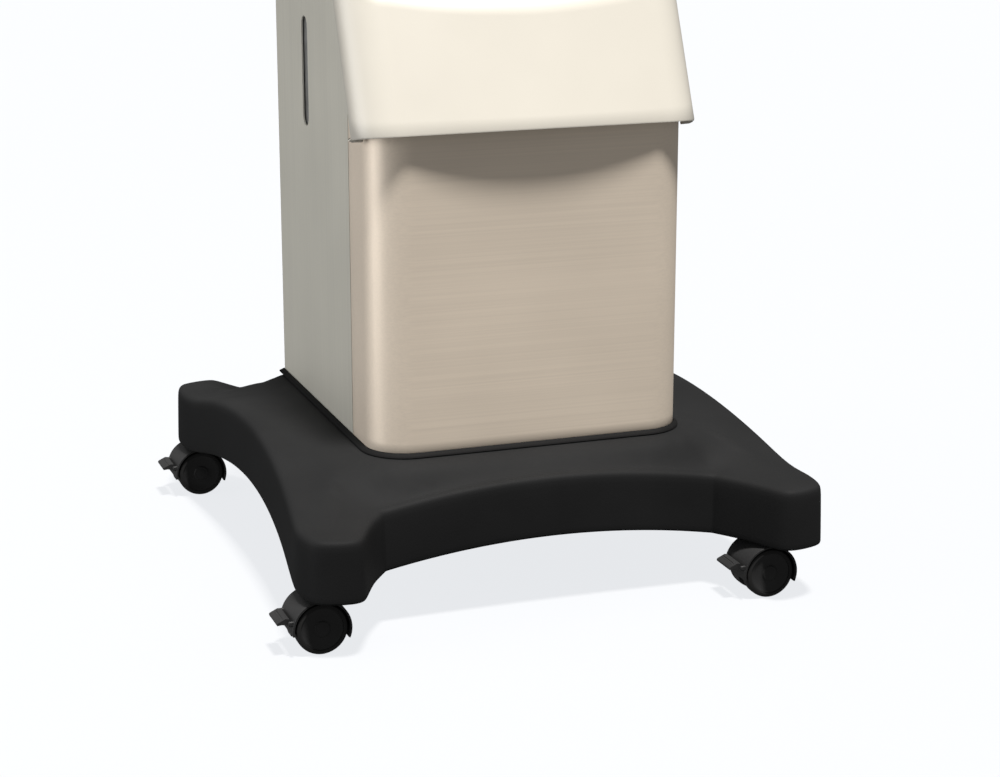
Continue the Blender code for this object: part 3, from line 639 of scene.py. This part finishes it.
def wheel(name, facing):
    """A tread round a dished disc with a hub cap; it faces the front or the back."""
    low, high, middle = span(name)
    half = (high.y - low.y) / 2
    radius = (high.z - low.z) / 2
    at = moved(*middle) @ turn("X", -90 * facing)
    tyre = [(radius - 0.0035, half), (radius - 0.0012, half - 0.0006),
            (radius - 0.0002, half - 0.0022), (radius, half - 0.0040), (radius, 0.0040 - half),
            (radius - 0.0010, 0.0010 - half), (radius - 0.0035, -half), (radius - 0.0045, -half),
            (radius - 0.0045, half)]
    turned(f"{name}_tyre", tyre, TREAD, at, name, steps=64, stands_for=name, slot="caster_wheel")
    disc = [(radius - 0.0046, half - 0.0010), (radius - 0.0046, -half + 0.0006),
            (0.0034, -half + 0.0006), (0.0034, half - 0.0004), (0.0070, half - 0.0004),
            (0.0082, half - 0.0014), (radius - 0.0080, half - 0.0020),
            (radius - 0.0062, half - 0.0010)]
    turned(f"{name}_disc", disc, CASTER_BLACK, at, name, steps=64)
    cap = [(0.0, half), (0.0050, half - 0.0001), (0.0060, half - 0.0006),
           (0.0060, half - 0.0020), (0.0, half - 0.0020)]
    turned(f"{name}_hub_cap", cap, CASTER_BLACK, at, name, steps=40, closed=False)


def lever(name, trail):
    """A curved foot lever, ribbed where the shoe presses it."""
    node_name = f"{name}_brake_lever"
    low, high, middle = span(node_name)
    body = f"{name}_brake"
    width, reach = high.y - low.y, high.x - low.x
    inner_x = low.x if trail > 0 else high.x
    at = moved(inner_x, middle.y, middle.z)
    side = [(0.0, 0.0032), (0.30, 0.0037), (0.62, 0.0020), (0.92, 0.0004), (1.0, -0.0006),
            (0.98, -0.0022), (0.60, -0.0018), (0.30, -0.0024), (0.0, -0.0030)]
    outline = [(share * reach * trail, z) for share, z in side]
    slab(f"{name}_lever_plate", outline, width, CASTER_BLACK, at @ FACING_FRONT, body, edge=0.0008,
         stands_for=node_name, slot="caster_body")
    rib = (0.0008, width * 0.82, 0.0008)
    ribs = [(rib, moved(trail * reach * (0.45 + 0.16 * k), 0, 0.0030 - 0.0012 * k))
            for k in range(3)]
    blocks(f"{name}_lever_ribs", ribs, CASTER_BLACK, at, body, edge=0.0002)
    lug, lug_y = (0.0060, 0.0030, 0.0050), 0.0185
    for side_y in (-1, 1):
        block(f"{name}_lever_lug_{side_y + 1}", lug, CASTER_BLACK,
              moved(inner_x - trail * 0.0012, middle.y + side_y * lug_y, middle.z - 0.0005),
              f"{name}_swivel", edge=0.0010)


# ---------------------------------------- column

def column_plan(offset):
    """The column's outline grown by offset: round front corners, square rear ones."""
    cover_low, cover_high, _ = span("front_cover")
    half = cover_high.x + offset
    front, rear = cover_low.y - offset, span("rear_panel")[1].y + offset
    radius, waist = COLUMN_RADIUS + offset, (rear + front) / 2
    points = [(-half, waist)]
    points += arc((radius - half, front + radius), radius, 180, 270, 14)
    points += arc((half - radius, front + radius), radius, -90, 0, 14)
    return points + [(half, waist), (half, rear), (-half, rear)]


def gasket():
    """A low rubber skirt that closes the joint between the column and the base."""
    profile = [(0.0006, 0.0002), (0.0046, 0.0002), (0.0050, 0.0008), (0.0046, 0.0020),
               (0.0030, 0.0032), (0.0014, 0.0046), (0.0009, 0.0048), (0.0006, 0.0044)]
    data = bmesh.new()
    rings = [[data.verts.new((x, y, BASE_TOP + height)) for x, y in column_plan(offset)]
             for offset, height in profile]
    for lower, upper in zip(rings, rings[1:] + rings[:1]):
        bridge(data, lower, upper)
    piece("column_skirt", data, RUBBER, stands_for="column_gasket", slot="rubber")


def front_cover():
    """The wrap-around cover: one sheet."""
    low, high, middle = span("front_cover")
    radius, half = COLUMN_RADIUS, high.x
    wing = (high.y, high.y - 0.012, (high.y + low.y + radius) / 2)
    plan = [(-half, y) for y in wing]
    plan += arc((radius - half, low.y + radius), radius, 180, 270, 20)
    plan += [(x * (half - radius), low.y) for x in (-0.5, 0.0, 0.5)]
    plan += arc((half - radius, low.y + radius), radius, -90, 0, 20)
    plan += [(half, y) for y in reversed(wing)]
    levels = [low.z, low.z + 0.010, middle.z, high.z - 0.010, high.z]
    data = bmesh.new()
    rows = [[data.verts.new((x, y, z)) for x, y in plan] for z in levels]
    for lower, upper in zip(rows, rows[1:]):
        bridge(data, lower, upper, closed=False)
    # The cover takes the front steel, whose warm tan colour is a painted reflection.
    item = piece("front_cover_sheet", data, STEEL_FRONT_WARM_REFLECTION, stands_for="front_cover",
                 slot="front_steel")
    shell = item.modifiers.new("Sheet", "SOLIDIFY")
    shell.thickness = SHEET
    shell.offset = -1
    rounded(item, 0.0003, 2, 60)


def side_vent(side, node_name):
    """A grille behind the upright slot in a side sheet: a back sheet and fins in the near-black
    painted shade, so that the slot reads dark.
    """
    low, high, _ = span(node_name)
    x = high.x if side < 0 else low.x
    slot_y, slot_z = 0.064, 0.487
    at = moved(x - side * 0.0012, slot_y, slot_z) @ SIDE_PLANE
    # Painted shade: a near-black sheet behind the slot stands for the dark inside.
    slab(f"vent_back_{side + 1}", rounded_rectangle(0.0160, 0.0600, 0.0120), SHEET, SHADOW_BLACK,
         moved(-side * 0.0060, 0, 0) @ at, edge=0.0003)
    fin, pitch = (0.0185, 0.0030, 0.0012), 0.012
    fins = [(fin, moved(0, pitch * k, -side * 0.0016) @ turn("X", 30)) for k in range(-4, 5)]
    blocks(f"vent_fins_{side + 1}", fins, SHADOW_BLACK, at)


def column_screws():
    """The rear sheet's two upright rows of screws."""
    low, high, _ = span("rear_panel")
    from_side, from_end = 0.010, 0.030
    for index in range(3):
        for side in (-1, 1):
            z = low.z + from_end + index * (high.z - low.z - 2 * from_end) / 2
            screw(f"rear_screw_{side + 1}_{index}",
                  moved(side * (high.x - from_side), high.y, z) @ FACING_BACK, radius=0.0034)


# ---------------------------------------- head

HEAD_LIP = 0.4495
HEAD_RISE = 0.0065
HEAD_RADIUS = 0.040
HEAD_BOW = 0.009
HEAD_STEPS = (16, 10)            # parts of a corner and of the front's half
FASCIA_TOP = 0.600
FASCIA_SKIN = 0.0024
PANEL_LENGTH = 0.104
PANEL_THICK = 0.012
GAUGE_X = -0.088
KNOB_X = 0.020
SWITCH_X = 0.105


def head_plan():
    """Where the head's front is, and the right half of its outline from the fascia's end."""
    low, high, _ = span("upper_fascia")
    corner_steps, front_steps = HEAD_STEPS
    centre_x = high.x - HEAD_RADIUS
    front = low.y + HEAD_BOW
    centre_y = front + HEAD_RADIUS
    half = [(high.x, centre_y)]
    half += arc((centre_x, centre_y), HEAD_RADIUS, 0, -90, corner_steps)[1:]
    half += [(centre_x * t, front - HEAD_BOW * (1 - t * t))
             for t in (1 - step / front_steps for step in range(1, front_steps + 1))]
    return front, half


def brow_rise(back):
    """How far the fascia's top edge climbs with the control panel, by its distance back."""
    slope = math.tan(PANEL_TILT)
    return back * slope / (1 - slope * math.tan(HEAD_TILT))


def fascia():
    """The cream inclined fascia: a bowed wrap-round skin with a rolled lower lip."""
    front, half = head_plan()
    end_y = front + HEAD_RADIUS
    column_x = -span("left_side_panel")[0].x
    cover_top = span("front_cover")[1].z
    half = [(column_x, end_y), (half[0][0] - 0.0015, end_y)] + half
    plan = half + [(-x, y) for x, y in reversed(half[:-1])]

    def lower_edge(y):
        return HEAD_LIP + HEAD_RISE * (end_y - y) / HEAD_RADIUS

    def upper_edge(y):
        return FASCIA_TOP + 0.0003 + brow_rise(min(y, end_y - 0.0020) - front)

    def between(share):
        start = cover_top + 0.0040
        return lambda y: start + share * (upper_edge(y) - start)

    def row(height_at, inward, lip):
        points = []
        for index, (x, y) in enumerate(plan):
            height = height_at(y)
            lean = (height - HEAD_LIP - HEAD_RISE) * math.tan(HEAD_TILT)
            if index in (0, len(plan) - 1):
                points.append((math.copysign(column_x + lip, x), y + lean, height))
                continue
            toward = Vector((-x, 0.02 - y)).normalized() * inward
            toward.x = 0.0 if y > end_y - 0.001 else toward.x
            points.append((x + toward.x, y + toward.y + lean, height))
        return points

    clear_of_cover, into_column = 0.0012, -0.0035
    lip_roll = ((0.0012, 0.0086), (0.0001, 0.0024), (0.0003, 0.0008), (0.0018, 0.0))
    rows = [row(lambda y, climb=climb: lower_edge(y) + climb, inward, clear_of_cover)
            for climb, inward in lip_roll]
    rows += [row(lambda y: cover_top + 0.0016, 0.0, clear_of_cover)]
    rows += [row(between(share), 0.0, into_column) for share in (0.0, 0.25, 0.5, 0.75, 1.0)]
    data = bmesh.new()
    grid = [[data.verts.new(point) for point in points] for points in rows]
    for lower, upper in zip(grid, grid[1:]):
        bridge(data, upper, lower, closed=False)
    item = piece("fascia_skin", data, CREAM, stands_for="upper_fascia", slot="cream_housing",
                 smooth=50)
    shell = item.modifiers.new("Skin", "SOLIDIFY")
    shell.thickness = FASCIA_SKIN
    shell.offset = -1


def control_board():
    """The sloping cream board; its lower edge follows the fascia's curved top edge."""
    front, half = head_plan()
    half_length = PANEL_LENGTH / 2
    side = [(x, min(half_length - 0.0020,
                    brow_rise(y - front) / math.sin(PANEL_TILT) - half_length)) for x, y in half]
    outline = [(half[0][0], half_length - 0.0010)] + side
    outline += [(-x, v) for x, v in reversed(outline[:-1])]
    bore = arc((KNOB_X, 0), 0.0055, 0, 345, 23)
    well = rounded_rectangle(0.0110, 0.0170, 0.0010, 2, centre=(SWITCH_X, 0))
    # The board takes the darkened cream: painted shade on a face the overhead sun lights strongly.
    slab("control_board", outline, PANEL_THICK, CREAM_SHADED_TOPS,
         panel_frame() @ moved(0, 0, -PANEL_THICK / 2), holes=(bore, well), edge=0.0028,
         stands_for="control_panel", slot="cream_housing")


def panel_frame():
    """Middle of the control panel's upper face: X right, Y up the slope, Z outwards."""
    foot_y = head_plan()[0] + (FASCIA_TOP - HEAD_LIP - HEAD_RISE) * math.tan(HEAD_TILT)
    middle = moved(0, foot_y + PANEL_LENGTH / 2 * math.cos(PANEL_TILT),
                   FASCIA_TOP + PANEL_LENGTH / 2 * math.sin(PANEL_TILT))
    return middle @ Matrix.Rotation(PANEL_TILT, 4, "X") @ moved(0, 0, PANEL_THICK + 0.0010)


def number(name, text, height, look, matrix, body=MACHINE):
    """A plain number as thin raised geometry, centred on the matrix."""
    curve = bpy.data.curves.new(name, "FONT")
    curve.body = text
    curve.size = height
    curve.extrude = 0.00006
    curve.align_x = curve.align_y = "CENTER"
    piece(name, filled(curve, 0.000002), look, body, matrix, smooth=0)


def gauge():
    """A vacuum gauge: a rolled bezel, ticks, numbers and a green zone on its dial, a hub."""
    at = panel_frame() @ moved(GAUGE_X, 0, 0)
    rim, top = 0.0380, 0.0046
    bezel = [(rim - 0.0042, 0.0150), (rim - 0.0034, 0.0166), (rim - 0.0022, 0.0172),
             (rim - 0.0008, 0.0166), (rim, 0.0150), (rim, 0.0022), (rim + 0.0006, 0.0004),
             (rim - 0.0060, 0.0004), (rim - 0.0060, 0.0026), (rim - 0.0042, 0.0034)]
    turned("gauge_bezel", bezel, GLOSS_BLACK, at, steps=72, stands_for="gauge_housing",
           slot="black_gloss")
    keep(DIAL, "gauge_dial")
    keep(LENS, "gauge_lens")
    start, step, scale_r, number_r = 135, 9, 0.0300, 0.0203
    ticks = []
    for index in range(31):
        angle = start - step * index
        major = index % 5 == 0
        width, length = (0.00075, 0.0052) if major else (0.00040, 0.0030)
        ticks.append(((width, length, 0.0001),
                      turn("Z", angle) @ moved(0, scale_r - length / 2, top)))
        if major:
            spot = at @ turn("Z", angle) @ moved(0, number_r, top) @ turn("Z", -angle)
            number(f"dial_number_{index}", str(index // 5 * 20), 0.0052, INK, spot)
    blocks("dial_ticks", ticks, INK, at, edge=0.00001)
    zone = arc((0, 0), 0.0308, 0, 78, 24) + arc((0, 0), 0.0298, 78, 0, 24)
    slab("dial_zone", zone, 0.0001, GREEN, at @ moved(0, 0, top) @ turn("Z", -45), smooth=0)
    keep(RED, "gauge_needle")
    hub = [(0.0, 0.0016), (0.0030, 0.0015), (0.0040, 0.0006), (0.0040, -0.0006), (0.0, -0.0006)]
    turned("needle_hub", hub, INK, at @ moved(0, 0, 0.0072), "gauge_needle", steps=32, closed=False)


def knob():
    """A fluted regulator knob with a white pointer line, and its scale on the panel."""
    at = panel_frame() @ moved(KNOB_X, 0, 0)
    flutes, count = 24, 144
    data = bmesh.new()
    rows = []
    for radius, height, depth in ((0.0204, 0.0008, 0.0), (0.0198, 0.0030, 0.0),
                                  (0.0180, 0.0040, 0.0007), (0.0172, 0.0200, 0.0007),
                                  (0.0160, 0.0230, 0.0004), (0.0140, 0.0243, 0.0)):
        ring = []
        for angle in around(count):
            r = radius - depth * (0.5 + 0.5 * math.cos(flutes * angle))
            ring.append(data.verts.new((r * math.cos(angle), r * math.sin(angle), height)))
        rows.append(ring)
    loft(data, rows)
    piece("knob_grip", data, GLOSS_BLACK, "regulator_knob", at, stands_for="regulator_knob",
          slot="black_gloss", smooth=50)
    block("knob_pointer", (0.0014, 0.0100, 0.0004), DIAL, at @ moved(0, 0.0080, 0.0244),
          "regulator_knob", edge=0.0001)
    tick, scale_r = (0.0008, 0.0040, 0.0003), 0.0250
    ticks = [(tick, turn("Z", 135 - 27 * index) @ moved(0, scale_r, 0.0004)) for index in range(11)]
    blocks("knob_ticks", ticks, DIAL, at, edge=0.00002)


def switch():
    """The mains switch, with a line and a ring on its rocker."""
    at = panel_frame() @ moved(SWITCH_X, 0, 0)
    keep(GLOSS_BLACK, "rocker_switch_frame")
    keep(RED, "rocker_switch")
    block("switch_mark_on", (0.0012, 0.0050, 0.0002), DIAL,
          at @ moved(0, -0.0085, 0.0065), "rocker_switch", edge=0.00005)
    ring = arc((0, 0), 0.0026, 0, 345, 23)
    hole = arc((0, 0), 0.0016, 0, 345, 23)
    slab("switch_mark_off", ring, 0.0002, DIAL, at @ moved(0, 0.0080, 0.0084) @ turn("X", 14.7),
         "rocker_switch", holes=(hole,), smooth=0)


def head():
    """The deck with its front brow, and the control panel's overlay and screws."""
    # The deck takes the darkened cream: painted shade on an upward face.
    keep(CREAM_SHADED_TOPS, "top_deck")
    keep(ZINC, "regulator_valve")
    at = panel_frame()
    up = 0.0020
    holes = [arc((x, -up), radius, 0, 360 - 360 / count, count - 1)
             for x, radius, count in ((GAUGE_X, 0.0375, 36), (KNOB_X, 0.0060, 18))]
    holes.append(rounded_rectangle(0.0112, 0.0172, 0.001, 2, centre=(SWITCH_X, -up)))
    slab("panel_overlay", rounded_rectangle(0.1420, 0.0410, 0.010), 0.0004, OVERLAY,
         at @ moved(0, up, 0.0001), edge=0.0001, holes=holes)
    for index, x in enumerate((-1, 1)):
        screw(f"panel_screw_top_{index}", at @ moved(x * 0.1560, 0.0400, 0), radius=0.0026)
        screw(f"panel_screw_low_{index}", at @ moved(x * 0.1290, -0.0440, 0), radius=0.0026)
    deck_low, deck_high, _ = span("top_deck")
    brow = [(0.0, 0.0), (0.0, -0.0090), (-0.0100, -0.0060), (-0.0090, -0.0012)]
    data = bmesh.new()
    loft(data, [[data.verts.new((x, deck_low.y + 0.0002 + dy, deck_high.z - 0.0036 + dz))
                 for dy, dz in brow] for x in (-0.1600, 0.1600)])
    bmesh.ops.recalc_face_normals(data, faces=data.faces)
    # The brow takes the darkened cream: painted shade on an upward face.
    piece("deck_brow", data, CREAM_SHADED_TOPS)


# ---------------------------------------- canisters

def canister(name):
    """A graduated clear jar, with its lid and float."""
    low, high, middle = span(f"{name}_jar")
    at = moved(middle.x, middle.y, low.z)
    radius, height, wall = (high.x - low.x) / 2, high.z - low.z, 0.0024
    inner = radius - wall
    jar = [(inner, height), (radius - 0.0004, height), (radius, height - 0.0008),
           (radius, height - 0.0040), (radius - 0.0006, height - 0.0050), (radius - 0.0012, 0.0080),
           (radius - 0.0030, 0.0028), (radius - 0.0065, 0.0004), (0.0300, 0.0), (0.0270, 0.0014),
           (0.0, 0.0020), (0.0, 0.0042), (0.0300, 0.0032), (inner - 0.0060, 0.0034),
           (inner - 0.0022, 0.0062), (inner - 0.0008, 0.0110)]
    turned(f"{name}_shell", jar, CLEAR, at, f"{name}_jar", steps=72, stands_for=f"{name}_jar",
           slot="clear_plastic")
    scale_r, per_mark, from_floor = radius - 0.0009, 0.0100, 0.004
    body = f"{name}_jar"
    for index in range(1, 16):
        major = index % 5 == 0
        z = per_mark * index + from_floor
        sweep = 9 if major else 4.5
        plan = arc((0, 0), scale_r + 0.0002, -90 - sweep, -90 + sweep, 6)
        plan += arc((0, 0), scale_r - 0.0001, -90 + sweep, -90 - sweep, 6)
        slab(f"{name}_mark_{index}", plan, 0.0008, INK, at @ moved(0, 0, z), body, smooth=0)
        if major:
            spot = at @ turn("Z", 15) @ moved(0, -scale_r - 0.0001, z) @ FACING_FRONT
            number(f"{name}_number_{index}", str(index * 100), 0.0080, INK, spot, body)
    lid(name)
    valve(name)


def lid(name):
    """A knurled lid with two ports, and the guide of the float under it."""
    low, high, middle = span(f"{name}_lid")
    jar_low, jar_high, _ = span(f"{name}_jar")
    at = moved(middle.x, middle.y, jar_high.z)
    skirt = (high.x - low.x) / 2
    inner = (jar_high.x - jar_low.x) / 2 + 0.0008
    profile = [(0.0, 0.0118), (0.0400, 0.0118), (0.0425, 0.0098), (0.0500, 0.0098),
               (0.0525, 0.0118), (skirt - 0.0030, 0.0108), (skirt - 0.0008, 0.0090),
               (skirt, 0.0064), (skirt, -0.0090), (skirt + 0.0006, -0.0100),
               (skirt + 0.0006, -0.0118), (inner, -0.0118), (inner, 0.0010), (0.0080, 0.0050),
               (0.0025, 0.0050), (0.0025, -0.0480), (0.0090, -0.0480), (0.0090, -0.0500),
               (0.0, -0.0500)]
    turned(f"{name}_cap", profile, LID, at, f"{name}_lid", steps=72, closed=False,
           stands_for=f"{name}_lid", slot="lid_blue")
    knurl = (0.0016, 0.0022, 0.0130)
    knurls = [(knurl, turn("Z", 10 * index) @ moved(skirt, 0, -0.0015)) for index in range(36)]
    blocks(f"{name}_knurls", knurls, LID, at, f"{name}_lid", edge=0.0005)
    port = [(0.0024, 0.0300), (0.0040, 0.0300), (0.0046, 0.0286), (0.0040, 0.0270),
            (0.0050, 0.0236), (0.0042, 0.0220), (0.0052, 0.0186), (0.0052, 0.0140),
            (0.0075, 0.0132), (0.0080, 0.0100), (0.0024, 0.0100)]
    ring = [(0.0076, 0.0140), (0.0094, 0.0134), (0.0098, 0.0112), (0.0076, 0.0112)]
    for index, x in enumerate((-0.026, 0.026)):
        turned(f"{name}_port_{index}", port, LID, at @ moved(x, 0, 0), f"{name}_lid", steps=40)
        turned(f"{name}_port_ring_{index}", ring, RED if index else DIAL, at @ moved(x, 0, 0),
               f"{name}_lid", steps=40)


def valve(name):
    """The white float that rides on the lid's guide."""
    low, high, middle = span(f"{name}_float")
    tall = high.z - low.z
    profile = [(0.0034, tall), (0.0090, tall), (0.0116, tall - 0.0022), (0.0120, tall * 0.5),
               (0.0112, 0.0025), (0.0088, 0.0), (0.0034, 0.0)]
    turned(f"{name}_ball", profile, VALVE_WHITE, moved(middle.x, middle.y, low.z),
           f"{name}_float", stands_for=f"{name}_float", slot="dial_white")


def deck_fittings():
    """The canister holder with its two screws, and the vacuum port."""
    keep(BLACK, "canister_holder")
    keep(ZINC, "vacuum_port")
    _, high, middle = span("canister_holder")
    for index, x in enumerate((-0.011, 0.011)):
        screw(f"holder_screw_{index}", moved(x, middle.y, high.z), radius=0.0030)


# ---------------------------------------- rear fittings

def handle():
    """A bent push bar with a foam grip, on two screwed flanges."""
    low, high, middle = span("push_handle")
    radius, bend, half = 0.0110, 0.030, 0.1150
    reach = high.y - radius
    start = low.y + 0.0030
    route = [(-half, start), (-half, (start + reach - bend) / 2)]
    route += arc((-half + bend, reach - bend), bend, 180, 90, 14)
    route += arc((half - bend, reach - bend), bend, 90, 0, 14)
    route += [(half, (start + reach - bend) / 2), (half, start)]
    tube("handle_tube", [(x, y, middle.z) for x, y in route], radius, BLACK, sides=28,
         stands_for="push_handle", slot="handle_black")
    grip = [(x, reach, middle.z) for x in (-0.078, -0.0775, -0.05, 0.0, 0.05, 0.0775, 0.078)]
    tube("handle_grip", grip, radius + 0.0006, GRIP, sides=28)
    flange = [(0.0112, 0.0062), (0.0150, 0.0058), (0.0180, 0.0046), (0.0205, 0.0036),
              (0.0210, 0.0026), (0.0210, 0.0), (0.0112, 0.0)]
    for side in (-1, 1):
        at = moved(side * half, low.y, middle.z) @ FACING_BACK
        turned(f"handle_flange_{side + 1}", flange, BLACK, at)
        for index in range(3):
            spot = at @ turn("Z", 120 * index + 90) @ moved(0.0168, 0, 0.0050)
            screw(f"handle_screw_{side + 1}_{index}", spot, radius=0.0021)


def inlet():
    """The mains inlet with its pins and screws, and the fuse drawer with its pull."""
    keep(GLOSS_BLACK, "mains_inlet", "fuse_drawer")
    _, high, middle = span("mains_inlet")
    x, z = middle.x, middle.z
    pin = (0.0020, 0.0150, 0.0040)
    for index, (dx, dz) in enumerate(((-0.007, 0.008), (0.007, 0.008), (0.0, 0.013))):
        block(f"inlet_pin_{index}", pin, ZINC, moved(x + dx, high.y - 0.0160, z + dz), edge=0.0004)
    _, drawer_high, drawer_middle = span("fuse_drawer")
    block("drawer_pull", (0.0120, 0.0010, 0.0020), DIAL,
          moved(x, drawer_high.y + 0.0004, drawer_middle.z), "fuse_drawer", edge=0.0002)
    for side in (-1, 1):
        screw(f"inlet_screw_{side + 1}", moved(x + side * 0.0212, high.y, z) @ FACING_BACK,
              radius=0.0022)


# ---------------------------------------- inside

def inside():
    """The pump on its tray; only the motor's cooling fins are added to the solids."""
    keep(ZINC, "chassis_tray", "pump_rotor", "exhaust_muffler")
    keep(RUBBER, "pump_isolation_mount")
    keep(ENAMEL, "pump_motor")
    keep(CAST, "pump_housing", "pump_cover")
    keep(GLOSS_BLACK, "cooling_fan")
    axis_height, fin = 0.235, (0.0040, 0.0016, 0.0900)
    fins = [(fin, turn("Z", 18 * index) @ moved(0.0530, 0, 0)) for index in range(20)]
    blocks("motor_fins", fins, ENAMEL,
           moved(0, span("pump_motor")[2].y, axis_height) @ FACING_BACK, edge=0.0004)


# ---------------------------------------- stage, light, camera

def stage():
    """A plain pale floor and a backdrop far behind it, which throw no light on the object."""
    reach, rise, segments = 40.0, 30.0, 64
    data = bmesh.new()
    foot = bmesh.ops.create_circle(data, cap_ends=True, cap_tris=False, segments=segments,
                                   radius=reach)["verts"]
    crest = [data.verts.new((vert.co.x, vert.co.y, rise)) for vert in foot]
    bridge(data, foot, crest)
    look, _ = shader("studio_floor", FLOOR_COLOUR, 0.0, 0.8, Specular_IOR_Level=0.1,
                     Emission_Color=(0.95, 0.97, 1.0, 1.0), Emission_Strength=FLOOR_GLOW)
    floor = meshed("floor", data, look)
    floor.visible_diffuse = floor.visible_glossy = False


def lamp(kind, name, energy, place, rotation, **values):
    """A light of one kind; values are its own settings."""
    light = bpy.data.lights.new(name, kind)
    light.energy = energy
    for key, value in values.items():
        setattr(light, key, value)
    item = placed(name, light)
    item.location = place
    item.rotation_euler = rotation


def lights():
    """Soft light from overhead, a broad fill from the left and a dim white surrounding."""
    world = bpy.data.worlds.new("studio")
    world.use_nodes = True
    surround = world.node_tree.nodes["Background"].inputs
    surround["Color"].default_value = (*SURROUND_COLOUR, 1.0)
    surround["Strength"].default_value = SURROUND_POWER
    bpy.context.scene.world = world
    lamp("SUN", "overhead", SUN_POWER, (0.0, 0.0, 0.0),
         (math.radians(SUN_TILT), 0.0, math.radians(SUN_TURN)),
         angle=math.radians(SUN_SPREAD), color=SUN_COLOUR)
    lamp("AREA", "left_fill", FILL_POWER, FILL_PLACE,
         (FILL_TARGET - FILL_PLACE).to_track_quat("-Z", "Y").to_euler(), size=FILL_SIZE)


def camera():
    """The view of the lower half from the front left."""
    lens = bpy.data.cameras.new("camera")
    lens.lens = CAMERA_LENS
    lens.sensor_width = CAMERA_SENSOR
    item = placed("camera", lens)
    item.location = CAMERA_PLACE
    item.rotation_euler = (math.pi / 2 - CAMERA_PITCH, 0.0, -CAMERA_YAW)
    bpy.context.scene.camera = item
    bpy.context.scene.view_settings.view_transform = "Standard"


base()
stem_sockets()
for caster_name, caster_trail in CASTERS.items():
    caster(caster_name, caster_trail)
gasket()
front_cover()
keep(STEEL_SIDE, "left_side_panel", "right_side_panel", "rear_panel")
side_vent(-1, "left_side_panel")
side_vent(1, "right_side_panel")
column_screws()
fascia()
control_board()
head()
gauge()
knob()
switch()
canister("canister_left")
canister("canister_right")
deck_fittings()
handle()
inlet()
inside()
stage()
lights()
camera()
